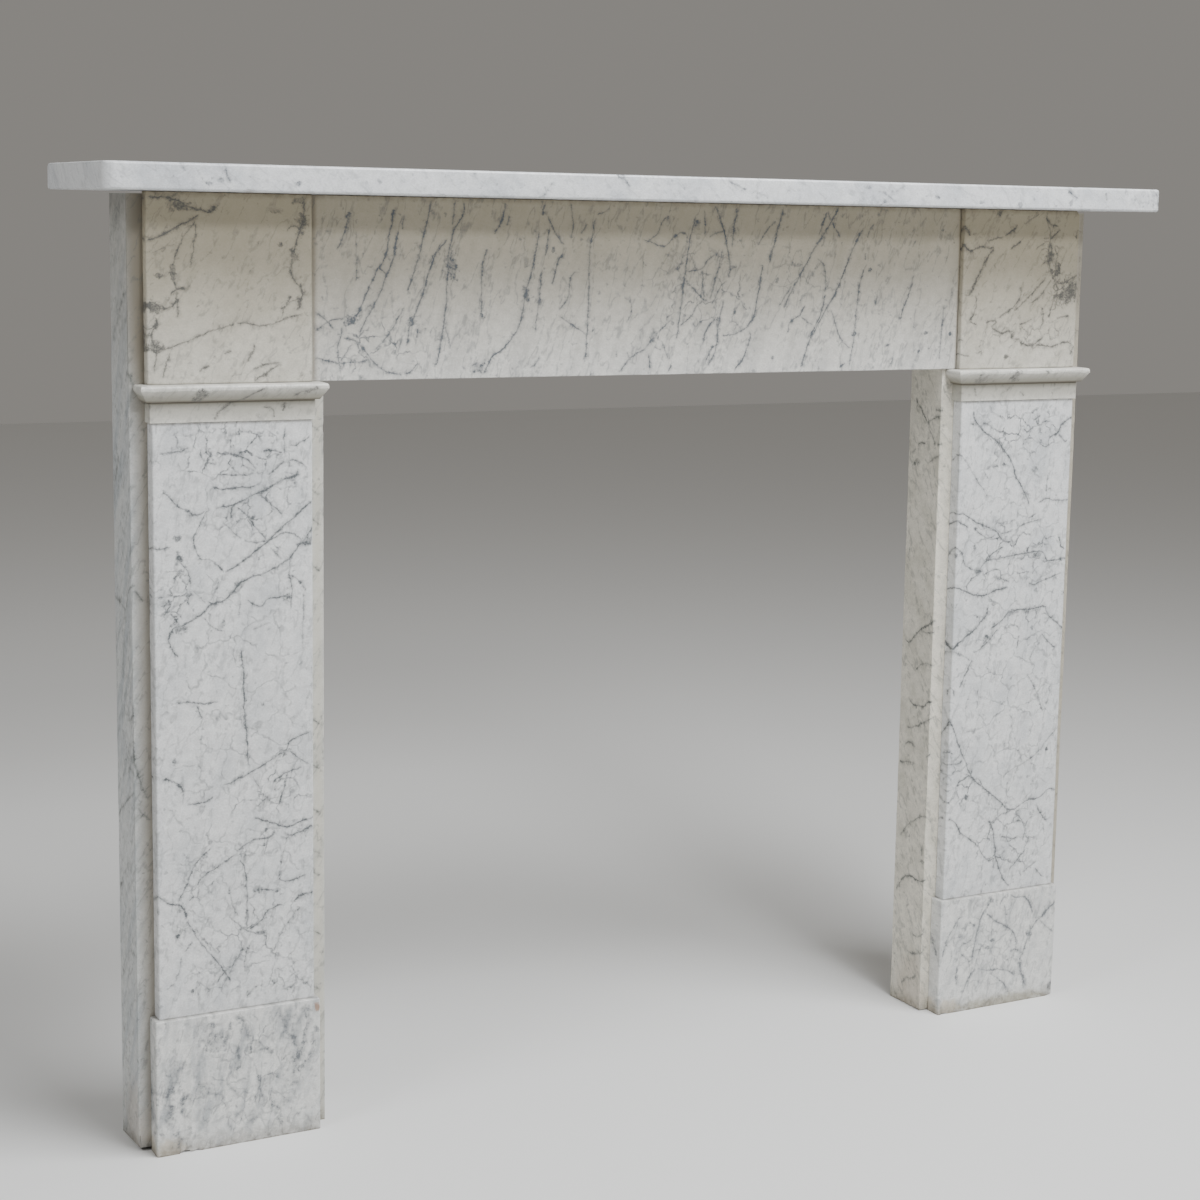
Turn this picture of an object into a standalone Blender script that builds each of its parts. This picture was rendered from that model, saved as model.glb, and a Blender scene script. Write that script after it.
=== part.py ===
"""Fireplace mantelpiece of white veined marble, late nineteenth century in style.

A plain shelf lies on a frieze and two end blocks. Under each end block come a capital, a
pilaster panel and a plinth, all applied to the front of a jamb. The jambs stand on the floor
on either side of the fire opening and carry the frieze in a rebate at their inner top corners.

Metres, +Z up. The origin is on the floor, midway between the jambs and midway through the
shelf's depth. The front faces -Y, the wall is at +Y, and left is -X.
"""

import bmesh
import bpy

# Gap between stones that touch
JOINT = 0.0003

# Fire opening
OPENING_WIDTH = 0.880
OPENING_HEIGHT = 0.905

# Jambs
JAMB_WIDTH = 0.230
JAMB_DEPTH = 0.072
JAMB_TOP_GAP = 0.003
JAMB_ARRIS = 0.0015

# Frieze
FRIEZE_HEIGHT = 0.215
FRIEZE_THICKNESS = 0.045
FRIEZE_PROUD = 0.0065

# Shelf
SHELF_THICKNESS = 0.030
SHELF_END_OVERHANG = 0.050
SHELF_FRONT_OVERHANG = 0.102
SHELF_REAR_OVERHANG = 0.080
SHELF_CORNER_RADIUS = 0.012
SHELF_EDGE_RADIUS = 0.003

# End blocks, which leave a margin of the jamb showing on both sides
BLOCK_MARGIN = 0.018
BLOCK_PROUD = 0.014
BLOCK_ARRIS = 0.002

# Capitals: a splayed moulding over a necking band
MOULDING_HEIGHT = 0.019
MOULDING_OVERHANG = 0.013
NOSING_HEIGHT = 0.007
NOSING_RADIUS = 0.004
SPLAY = 0.0055
NECK_HEIGHT = 0.024
NECK_PROUD = 0.021

# Pilaster panels
PILASTER_INSET = 0.0025
PILASTER_PROUD = 0.019
PILASTER_ARRIS = 0.002

# Plinths
PLINTH_HEIGHT = 0.165
PLINTH_OVERSAIL = 0.006
PLINTH_PROUD = 0.0245
PLINTH_ARRIS = 0.002
PLINTH_TOP_RADIUS = 0.005

# Each rounded edge has this many facets
FACETS = 4
# Two coordinates closer than this are taken as equal
NEAR = 0.00001

SIDES = {"left": -1, "right": 1}

# Heights and places worked out from the sizes above
SHELF_UNDERSIDE = OPENING_HEIGHT + FRIEZE_HEIGHT
SHELF_WIDTH = OPENING_WIDTH + 2 * (JAMB_WIDTH + SHELF_END_OVERHANG)
SHELF_DEPTH = SHELF_FRONT_OVERHANG + JAMB_DEPTH + SHELF_REAR_OVERHANG
WALL_Y = SHELF_DEPTH / 2
JAMB_BACK_Y = WALL_Y - SHELF_REAR_OVERHANG
JAMB_FRONT_Y = JAMB_BACK_Y - JAMB_DEPTH
JAMB_HEIGHT = SHELF_UNDERSIDE - JAMB_TOP_GAP
LEG_CENTRE_X = (OPENING_WIDTH + JAMB_WIDTH) / 2
BLOCK_WIDTH = JAMB_WIDTH - 2 * BLOCK_MARGIN
CAPITAL_BOTTOM = OPENING_HEIGHT - MOULDING_HEIGHT - NECK_HEIGHT
PILASTER_WIDTH = BLOCK_WIDTH - 2 * PILASTER_INSET
PLINTH_WIDTH = PILASTER_WIDTH + 2 * PLINTH_OVERSAIL


def clear_scene():
    """Remove every object, so that the file holds the mantelpiece alone."""
    for old in list(bpy.data.objects):
        bpy.data.objects.remove(old, do_unlink=True)


def marble(name, colour, roughness):
    """Return a plain marble material of one colour."""
    material = bpy.data.materials.new(name)
    material.use_nodes = True
    shader = material.node_tree.nodes["Principled BSDF"]
    shader.inputs["Base Color"].default_value = (*colour, 1.0)
    shader.inputs["Roughness"].default_value = roughness
    shader.inputs["Metallic"].default_value = 0.0
    return material


def slab(width, depth, height):
    """Return a rectangular slab whose origin is at the bottom centre of its back face."""
    mesh = bmesh.new()
    corners = bmesh.ops.create_cube(mesh, size=1.0)["verts"]
    bmesh.ops.scale(mesh, vec=(width, depth, height), verts=corners)
    bmesh.ops.translate(mesh, vec=(0.0, -depth / 2, height / 2), verts=corners)
    return mesh


def round_edges(mesh, edges, radius):
    """Round the edges to the radius, no further than the slab's faces allow."""
    bmesh.ops.bevel(
        mesh,
        geom=edges,
        offset=radius,
        offset_type="OFFSET",
        segments=FACETS,
        profile=0.5,
        affect="EDGES",
        material=-1,
        clamp_overlap=True,
    )


def front_uprights(mesh, depth):
    """Return the upright edges at the front corners of a slab."""
    found = []
    for edge in mesh.edges:
        low, high = (vertex.co for vertex in edge.verts)
        at_front = abs(low.y + depth) < NEAR and abs(high.y + depth) < NEAR
        if at_front and abs(low.x - high.x) < NEAR:
            found.append(edge)
    return found


def rim_edges(mesh, level):
    """Return the front and side edges that run round a slab at one height."""
    found = []
    for edge in mesh.edges:
        start, end = (vertex.co for vertex in edge.verts)
        at_level = abs(start.z - level) < NEAR and abs(end.z - level) < NEAR
        along_back = abs(start.y) < NEAR and abs(end.y) < NEAR
        boundary = any(abs(face.normal.z) < 0.5 for face in edge.link_faces)
        if at_level and boundary and not along_back:
            found.append(edge)
    return found


def add_stone(name, mesh, material, place, assembly):
    """Add the shape to the scene as one named stone of the mantelpiece."""
    data = bpy.data.meshes.new(name)
    bmesh.ops.recalc_face_normals(mesh, faces=mesh.faces)
    mesh.to_mesh(data)
    mesh.free()
    data.materials.append(material)
    stone = bpy.data.objects.new(name, data)
    stone.location = place
    stone.parent = assembly
    bpy.context.scene.collection.objects.link(stone)
    return stone


def add_cutter(name, mesh, place, assembly):
    """Add a shape that only cuts or joins another, drawn as wire."""
    data = bpy.data.meshes.new(name)
    mesh.to_mesh(data)
    mesh.free()
    cutter = bpy.data.objects.new(name, data)
    cutter.location = place
    cutter.parent = assembly
    cutter.hide_render = True
    cutter.display_type = "WIRE"
    bpy.context.scene.collection.objects.link(cutter)
    return cutter


def add_boolean(stone, tool, operation):
    """Cut the tool's shape out of the stone, or join it on."""
    modifier = stone.modifiers.new(tool.name, "BOOLEAN")
    modifier.object = tool
    modifier.operation = operation
    modifier.solver = "EXACT"


def add_shelf(material, assembly):
    """Shelf with softly rounded front corners and pencil-round front and end edges."""
    mesh = slab(SHELF_WIDTH, SHELF_DEPTH, SHELF_THICKNESS)
    round_edges(mesh, front_uprights(mesh, SHELF_DEPTH), SHELF_CORNER_RADIUS)
    rims = rim_edges(mesh, SHELF_THICKNESS) + rim_edges(mesh, 0.0)
    round_edges(mesh, rims, SHELF_EDGE_RADIUS)
    add_stone("shelf", mesh, material, (0.0, WALL_Y, SHELF_UNDERSIDE), assembly)


def add_frieze(material, assembly):
    """Frieze slab between the end blocks, bearing in the jambs' rebates."""
    length = OPENING_WIDTH + 2 * (BLOCK_MARGIN - JOINT)
    height = FRIEZE_HEIGHT - JOINT
    mesh = slab(length, FRIEZE_THICKNESS, height)
    back = JAMB_FRONT_Y - FRIEZE_PROUD + FRIEZE_THICKNESS
    add_stone("frieze", mesh, material, (0.0, back, OPENING_HEIGHT), assembly)


def add_jamb(side, material, assembly):
    """Jamb with a rebate at its inner top corner that takes the end of the frieze."""
    direction = SIDES[side]
    mesh = slab(JAMB_WIDTH, JAMB_DEPTH, JAMB_HEIGHT)
    round_edges(mesh, front_uprights(mesh, JAMB_DEPTH), JAMB_ARRIS)
    place = (direction * LEG_CENTRE_X, JAMB_BACK_Y, 0.0)
    jamb = add_stone(f"jamb_{side}", mesh, material, place, assembly)

    # The cutter starts one margin outside the jamb on its inner side, front and top
    rebate_depth = FRIEZE_THICKNESS - FRIEZE_PROUD + JOINT
    rebate_height = JAMB_HEIGHT - OPENING_HEIGHT + JOINT
    cutter_mesh = slab(
        2 * BLOCK_MARGIN, rebate_depth + BLOCK_MARGIN, rebate_height + BLOCK_MARGIN
    )
    inner_x = direction * OPENING_WIDTH / 2
    cutter_place = (inner_x, JAMB_FRONT_Y + rebate_depth, OPENING_HEIGHT - JOINT)
    cutter = add_cutter(f"rebate_{side}", cutter_mesh, cutter_place, assembly)
    add_boolean(jamb, cutter, "DIFFERENCE")


def add_block(side, material, assembly):
    """End block between the capital and the shelf, level with the frieze."""
    depth = BLOCK_PROUD - JOINT
    mesh = slab(BLOCK_WIDTH, depth, FRIEZE_HEIGHT - JOINT)
    round_edges(mesh, front_uprights(mesh, depth), BLOCK_ARRIS)
    place = (SIDES[side] * LEG_CENTRE_X, JAMB_FRONT_Y - JOINT, OPENING_HEIGHT)
    add_stone(f"block_{side}", mesh, material, place, assembly)


def add_capital(side, material, assembly):
    """Capital in one stone: a nosing, a splay under it and a necking band below."""
    width = BLOCK_WIDTH + 2 * MOULDING_OVERHANG
    depth = NECK_PROUD + MOULDING_OVERHANG - JOINT
    height = MOULDING_HEIGHT - JOINT
    mesh = slab(width, depth, height)
    splay_top = height - NOSING_HEIGHT
    everything = mesh.verts[:] + mesh.edges[:] + mesh.faces[:]
    bmesh.ops.bisect_plane(
        mesh, geom=everything, plane_co=(0.0, 0.0, splay_top), plane_no=(0.0, 0.0, 1.0)
    )
    for vertex in mesh.verts:
        if abs(vertex.co.z) < NEAR:
            vertex.co.x -= SPLAY if vertex.co.x > 0 else -SPLAY
            if vertex.co.y < -NEAR:
                vertex.co.y += SPLAY
    round_edges(mesh, rim_edges(mesh, height), NOSING_RADIUS)
    x = SIDES[side] * LEG_CENTRE_X
    y = JAMB_FRONT_Y - JOINT
    z = CAPITAL_BOTTOM + NECK_HEIGHT
    capital = add_stone(f"capital_{side}", mesh, material, (x, y, z), assembly)

    # The band runs up into the moulding, so that the two join as one stone
    band_height = NECK_HEIGHT + splay_top / 2
    band_mesh = slab(BLOCK_WIDTH, NECK_PROUD - JOINT, band_height)
    band = add_cutter(f"necking_{side}", band_mesh, (x, y, CAPITAL_BOTTOM), assembly)
    add_boolean(capital, band, "UNION")


def add_pilaster(side, material, assembly):
    """Flat pilaster panel between the plinth and the necking band."""
    depth = PILASTER_PROUD - JOINT
    height = CAPITAL_BOTTOM - PLINTH_HEIGHT - JOINT
    mesh = slab(PILASTER_WIDTH, depth, height)
    round_edges(mesh, front_uprights(mesh, depth), PILASTER_ARRIS)
    place = (SIDES[side] * LEG_CENTRE_X, JAMB_FRONT_Y - JOINT, PLINTH_HEIGHT)
    add_stone(f"pilaster_{side}", mesh, material, place, assembly)


def add_plinth(side, material, assembly):
    """Plinth block on the floor, with its top edges well rounded."""
    depth = PLINTH_PROUD - JOINT
    height = PLINTH_HEIGHT - JOINT
    mesh = slab(PLINTH_WIDTH, depth, height)
    round_edges(mesh, front_uprights(mesh, depth), PLINTH_ARRIS)
    round_edges(mesh, rim_edges(mesh, height), PLINTH_TOP_RADIUS)
    place = (SIDES[side] * LEG_CENTRE_X, JAMB_FRONT_Y - JOINT, 0.0)
    add_stone(f"plinth_{side}", mesh, material, place, assembly)


def build_mantelpiece():
    """Build every stone of the mantelpiece under one parent."""
    clear_scene()
    assembly = bpy.data.objects.new("mantelpiece", None)
    bpy.context.scene.collection.objects.link(assembly)

    cool = marble("cool white marble", (0.58, 0.59, 0.60), 0.38)
    warm = marble("warm white marble", (0.60, 0.59, 0.56), 0.42)
    grey = marble("jamb marble", (0.54, 0.54, 0.51), 0.45)

    add_shelf(cool, assembly)
    add_frieze(cool, assembly)
    for side in SIDES:
        add_jamb(side, grey, assembly)
        add_block(side, warm, assembly)
        add_capital(side, warm, assembly)
        add_pilaster(side, cool, assembly)
        add_plinth(side, cool, assembly)


build_mantelpiece()
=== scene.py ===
"""Looks of a plain fireplace mantelpiece in veined white marble.

Every stone replaces the solid of the same name and keeps its box. Lengths are metres in the
meshes and millimetres in the marble's patterns. Left and right are as seen from the front.
"""

import logging
import math
from collections.abc import Sequence
from dataclasses import dataclass, field
from enum import Enum, IntEnum
from typing import Union

import bmesh
import bpy
from mathutils import Euler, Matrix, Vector, noise


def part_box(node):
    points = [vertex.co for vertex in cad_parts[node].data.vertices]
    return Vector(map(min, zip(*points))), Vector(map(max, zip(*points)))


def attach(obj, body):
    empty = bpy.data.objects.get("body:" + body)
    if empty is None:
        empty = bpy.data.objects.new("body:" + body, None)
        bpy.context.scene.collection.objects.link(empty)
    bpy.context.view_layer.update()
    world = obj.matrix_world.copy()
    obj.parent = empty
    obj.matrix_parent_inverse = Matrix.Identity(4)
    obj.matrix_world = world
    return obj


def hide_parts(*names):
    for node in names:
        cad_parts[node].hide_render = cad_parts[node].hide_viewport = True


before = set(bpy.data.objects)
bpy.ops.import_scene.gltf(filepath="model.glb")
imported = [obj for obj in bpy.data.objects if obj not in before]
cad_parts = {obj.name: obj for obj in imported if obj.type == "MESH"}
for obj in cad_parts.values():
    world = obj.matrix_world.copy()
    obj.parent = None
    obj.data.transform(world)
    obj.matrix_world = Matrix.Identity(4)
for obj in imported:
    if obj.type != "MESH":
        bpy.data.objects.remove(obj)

log = logging.getLogger("mantelpiece")

Pair = tuple[float, float]
Colour = tuple[float, float, float]
Place = tuple[float, float, float]
Socket = bpy.types.NodeSocket
# What an input of a node can be given
Feed = Union[Socket, float, tuple[float, ...]]
Edges = list[bmesh.types.BMEdge]

# One millimetre in metres
MM = 0.001
# Middle of a leg, in millimetres from the middle of the mantelpiece
LEG_CENTRE = 555.0
# How far the veins drift across for each millimetre that they run back into a stone
DRIFT_INTO_STONE = 0.6
DRIFT_OVER_SLAB = 0.45
# How far a band fades out behind its reach, in millimetres
BAND_FADE = 3.0
DIRT_COLOUR = (0.105, 0.080, 0.042)

# Heights of the joints, in millimetres
PLINTH_TOP = 165.0
PILASTER_TOP = 862.0
CAPITAL_TOP = 905.0
SHELF_UNDERSIDE = 1120.0
# Top of the painted shadow that the shelf casts on the blocks and the frieze, in millimetres
SHELF_SHADOW_LEVEL = 1125.0
# Arrises of a jamb, in millimetres from the middle of the mantelpiece
OUTER_ARRIS = 670.0
INNER_ARRIS = 440.0

# Sizes of the marble's patterns, in millimetres
UNEVEN_SIZE = 10.0
GRAIN_SIZE = 2.2
BUMP_SIZE = 2.4
WANDER_SIZE = 16.0
FEATHER_SIZE = 6.5
RAGGED_SIZE = 6.0
FLECK_SIZE = 9.0
BREAK_SIZE = 15.0
HAIR_SIZE = (80.0, 24.0)
# A vein thins out over this length at its ends, and over no more than this share of it
VEIN_FADE = 5.0
VEIN_FADE_SHARE = 0.16
# Breadth of a net's lines, in millimetres, and how far they stray for each millimetre of a mesh
NET_LINE = 2.2
NET_STRAY = 1.15
# Half width of a hair vein, in steps of its noise
HAIR_WIDTH = 0.032
# How far each pattern is moved for each step of the seed, in millimetres
WANDER_SHIFT = (41.0, 17.0)
CLOUD_SHIFT = (7.0, 3.0)
NET_SHIFT = (53.0, 31.0)
SCATTER_SHIFT = (13.0, 29.0)
# A course that goes on by less than this between two points turns back, in millimetres
TURN_BACK = 0.5
# Makes a pattern the same at every depth
ENDLESS = 10000.0

# Start and end of each eased step, and its low and high results where they are fixed
CLOUD_STEP = (0.40, 0.72)
CRYSTAL_TONE = (0.28, 0.72, 0.88, 1.07)
UNEVEN_TONE = (0.28, 0.72, 1.05, 0.885)
POLISH_STEP = (0.3, 0.7)
BROKEN_INK = (0.32, 0.66, 0.66, 1.2)
GRAINY_INK = (0.30, 0.68, 0.66, 1.2)
FEATHER_REACH = (0.36, 0.64, 0.25, 2.4)
FLECK_STEP = (2.7, 1.8)
PATCH_STEP = (1.75, 1.05)
NET_BREAKS = (0.32, 0.58, 0.0, 1.1)
HAIR_BREAKS = (0.34, 0.58)
SCATTER_STEP = (0.62, 0.78)
DIRT_BREAKS = (0.28, 0.70, 0.6, 1.25)
# How ragged the outline of a fleck and of a patch is
FLECK_RAGGED = 2.6
PATCH_RAGGED = 1.3
# How much smoother and rougher than its mean a stone is, and how much rougher dirt makes it
SMOOTHER = 0.06
ROUGHER = 0.08
DIRT_ROUGHNESS = 0.35
BUMP_STRENGTH = 0.12
# Height of the crystals' bumps, in metres
BUMP_HEIGHT = 0.0004

# Two places closer than this are the same, in metres
NEAR = 1e-6
# Edges sharper than this stay crisp, in radians
CREASE = math.radians(32)
# Edges flatter than this lie within a face and not at its rim, in radians
RIM_TURN = 0.5
# Shell factor of a point on a flat or gently rounded place
NEARLY_FLAT = 1.02
# Frequency of the wear along an arris and of a chip's broken face, per metre
WEAR_NOISE = 55.0
CHIP_NOISE = 240.0
# Where a chip gets its lines of points, in parts of its reach
CHIP_STEPS = (-1.0, -0.55, -0.15, 0.25, 0.6, 1.0)
# How close a chip must be to an end of the stone to be at its corner, in metres
CORNER = 1e-4


class Side(Enum):
    """A leg of the mantelpiece, with the sign of its place along X."""

    LEFT = -1
    RIGHT = 1

    @property
    def word(self) -> str:
        """Return the word that ends the names of the leg's stones."""
        return self.name.lower()


class Face(Enum):
    """How a marble pattern lies on a stone."""

    FRONT = "across and up, running straight through from front to back"
    WRAPPED = "round an upright arris and up, as a vein goes round a corner"
    LYING = "along and back, for a slab that lies flat"


class Run(Enum):
    """Which way a straight band runs, with the part of the face coordinates that it is measured on."""

    UPRIGHT = 0
    LEVEL = 1


class Axis(IntEnum):
    """A direction in the room."""

    ACROSS = 0
    BACK = 1
    UP = 2


@dataclass(frozen=True)
class Vein:
    """A vein laid on a stone's face.

    Attributes:
        width: Half width of the dark core, in millimetres.
        strength: Darkness of the core, 0 to 1.
        points: The vein's course, in millimetres across and up the face.
    """

    width: float
    strength: float
    points: tuple[Pair, ...]


@dataclass(frozen=True)
class Spot:
    """A dark fleck or knot.

    Attributes:
        centre: Place on the face, in millimetres.
        radii: Half length and half breadth, in millimetres.
        turn: Angle of its length from level, in degrees.
        strength: Darkness, 0 to 1.
    """

    centre: Pair
    radii: Pair
    turn: float = 0.0
    strength: float = 0.8


@dataclass(frozen=True)
class Net:
    """A patch of fine crossing veins.

    Attributes:
        centre: Middle of the patch, in millimetres.
        radii: Half length and half breadth of the patch, in millimetres.
        cell: Size of the meshes of the net, in millimetres.
        strength: Darkness, 0 to 1.
        turn: Angle of the patch's length from level, in degrees.
    """

    centre: Pair
    radii: Pair
    cell: float
    strength: float
    turn: float = 0.0


@dataclass(frozen=True)
class Stain:
    """A patch of discoloured stone, or of painted shade.

    Attributes:
        centre: Middle of the patch, in millimetres.
        radii: Half length and half breadth, in millimetres.
        colour: Colour of the stain, linear.
        strength: How far it covers the marble, 0 to 1.
    """

    centre: Pair
    radii: Pair
    colour: Colour
    strength: float


@dataclass(frozen=True)
class Band:
    """A straight soft band of discoloured stone, of a dark joint, or of painted shade.

    Attributes:
        run: Which way it runs.
        level: Its middle, in millimetres across or up the face.
        spread: How far it reaches to both sides, in millimetres.
        colour: Its colour, linear.
        strength: How far it covers the marble, 0 to 1.
        reach: How far it goes back behind the stone's front, in millimetres.
        fade: Where along its length it starts to show and where it shows in full, if not all along.
    """

    run: Run
    level: float
    spread: float
    colour: Colour
    strength: float
    reach: float = 1.5
    fade: Pair | None = None


@dataclass(frozen=True)
class Grime:
    """Dirt that has settled along a level line, such as a joint or the floor.

    Attributes:
        level: Height of the line, in millimetres.
        spread: How far the dirt reaches above and below, in millimetres.
        strength: How far it covers the marble, 0 to 1.
    """

    level: float
    spread: float
    strength: float


def onward_runs(points: tuple[Pair, ...]) -> list[tuple[Pair, ...]]:
    """Split a course wherever it turns back, so that every run only goes onward.

    Args:
        points: The course, in millimetres.

    Returns:
        The runs in order; each starts where the one before it ends.
    """
    start = Vector(points[0])
    chord = (Vector(points[-1]) - start).normalized()
    marks = [(Vector(point) - start).dot(chord) for point in points]
    onward = all(later - earlier > TURN_BACK for earlier, later in zip(marks, marks[1:]))
    if onward or len(points) < 3:
        return [points]
    offsets = [abs((Vector(point) - start).cross(chord)) for point in points]
    turning = max(range(1, len(points) - 1), key=lambda index: offsets[index])
    return [*onward_runs(points[: turning + 1]), *onward_runs(points[turning:])]


class ShaderGraph:
    """Adds shader nodes to one material and links them."""

    def __init__(self, tree: bpy.types.NodeTree) -> None:
        """Keep the tree that the nodes go into."""
        self.tree = tree

    def add(self, kind: str, **settings: object) -> bpy.types.Node:
        """Add a node.

        Args:
            kind: Blender's name for the node.
            **settings: Attributes to set on it.

        Returns:
            The new node.
        """
        node = self.tree.nodes.new(kind)
        for name, value in settings.items():
            setattr(node, name, value)
        return node

    def feed(self, socket: Socket, value: Feed) -> None:
        """Link an output to the socket, or set the socket to a plain value.

        Args:
            socket: The input to fill.
            value: An output or a plain value.
        """
        if isinstance(value, Socket):
            self.tree.links.new(value, socket)
        else:
            socket.default_value = value

    def calc(self, operation: str, *operands: Feed, clamp: bool = False) -> Socket:
        """Add a Math node.

        Args:
            operation: The operation's name.
            *operands: Outputs or numbers.
            clamp: Whether the result is kept between 0 and 1.

        Returns:
            The node's output.
        """
        node = self.add("ShaderNodeMath", operation=operation, use_clamp=clamp)
        for socket, value in zip(node.inputs, operands):
            self.feed(socket, value)
        return node.outputs[0]

    def vector(self, operation: str, *operands: Feed) -> Socket:
        """Add a Vector Math node and return its output.

        Args:
            operation: The operation's name.
            *operands: Outputs or vectors.

        Returns:
            The node's output.
        """
        node = self.add("ShaderNodeVectorMath", operation=operation)
        for socket, value in zip(node.inputs, operands):
            self.feed(socket, value)
        return node.outputs["Value" if operation in {"LENGTH", "DOT_PRODUCT"} else "Vector"]

    def place(self, where: Feed, centre: Pair, turn: float, scale: Pair) -> Socket:
        """Measure a pattern's coordinates from a centre.

        Args:
            where: The pattern's coordinates.
            centre: The new origin, in millimetres.
            turn: Angle of the new first axis, in radians.
            scale: Lengths that count as one along the new axes.

        Returns:
            The new coordinates.
        """
        node = self.add("ShaderNodeMapping", vector_type="TEXTURE")
        self.feed(node.inputs["Vector"], where)
        node.inputs["Location"].default_value = (*centre, 0.0)
        node.inputs["Rotation"].default_value = (0.0, 0.0, turn)
        node.inputs["Scale"].default_value = (*scale, ENDLESS)
        return node.outputs["Vector"]

    def split(self, where: Feed) -> tuple[Socket, ...]:
        """Return the three parts of a vector.

        Args:
            where: The vector.

        Returns:
            Its first, second and third part.
        """
        node = self.add("ShaderNodeSeparateXYZ")
        self.feed(node.inputs[0], where)
        return tuple(node.outputs)

    def join(self, x: Feed, y: Feed, z: Feed) -> Socket:
        """Return a vector made of three parts.

        Args:
            x: First part.
            y: Second part.
            z: Third part.

        Returns:
            The vector.
        """
        node = self.add("ShaderNodeCombineXYZ")
        for socket, value in zip(node.inputs, (x, y, z)):
            self.feed(socket, value)
        return node.outputs[0]

    def noise(
        self, where: Feed, size: float, detail: float = 2.0, rough: float = 0.5, out: str = "Fac"
    ) -> Socket:
        """Add a Noise texture.

        Args:
            where: Coordinates.
            size: Size of its largest patches, in the coordinates' unit.
            detail: Number of finer layers.
            rough: Weight of the finer layers.
            out: The output to return, Fac or Color.

        Returns:
            The chosen output.
        """
        node = self.add("ShaderNodeTexNoise")
        self.feed(node.inputs["Vector"], where)
        node.inputs["Scale"].default_value = 1.0 / size
        node.inputs["Detail"].default_value = detail
        node.inputs["Roughness"].default_value = rough
        return node.outputs[out]

    def ease(
        self, value: Feed, start: float, end: float, low: float = 0.0, high: float = 1.0
    ) -> Socket:
        """Map a value smoothly from start..end to low..high and hold it beyond.

        Args:
            value: The value.
            start: Value that gives low.
            end: Value that gives high.
            low: Result at the start.
            high: Result at the end.

        Returns:
            The eased value.
        """
        node = self.add("ShaderNodeMapRange", interpolation_type="SMOOTHSTEP")
        for socket, number in zip(node.inputs, (value, start, end, low, high)):
            self.feed(socket, number)
        return node.outputs[0]

    def blend(
        self, factor: Feed, first: Feed, second: Feed, mode: str = "MIX"
    ) -> Socket:
        """Mix two colours.

        Args:
            factor: How far the second one counts.
            first: Colour or output.
            second: Colour or output.
            mode: Blend mode.

        Returns:
            The mixed colour.
        """
        node = self.add("ShaderNodeMix", data_type="RGBA", blend_type=mode)
        self.feed(node.inputs[0], factor)
        for index, value in ((6, first), (7, second)):
            self.feed(node.inputs[index], (*value, 1.0) if isinstance(value, tuple) else value)
        return node.outputs[2]

    def curve(self, value: Feed, points: list[Pair]) -> Socket:
        """Add a Float Curve through points in the value's own units.

        Args:
            value: The value.
            points: Pairs of a value and its result, in rising order.

        Returns:
            The result.
        """
        node = self.add("ShaderNodeFloatCurve")
        self.feed(node.inputs["Value"], value)
        mapping = node.mapping
        mapping.use_clip = False
        mapping.extend = "HORIZONTAL"
        line = mapping.curves[0]
        line.points[0].location = points[0]
        line.points[1].location = points[-1]
        for point in points[1:-1]:
            line.points.new(*point)
        for point in line.points:
            point.handle_type = "AUTO_CLAMPED"
        mapping.update()
        return node.outputs[0]


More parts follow.
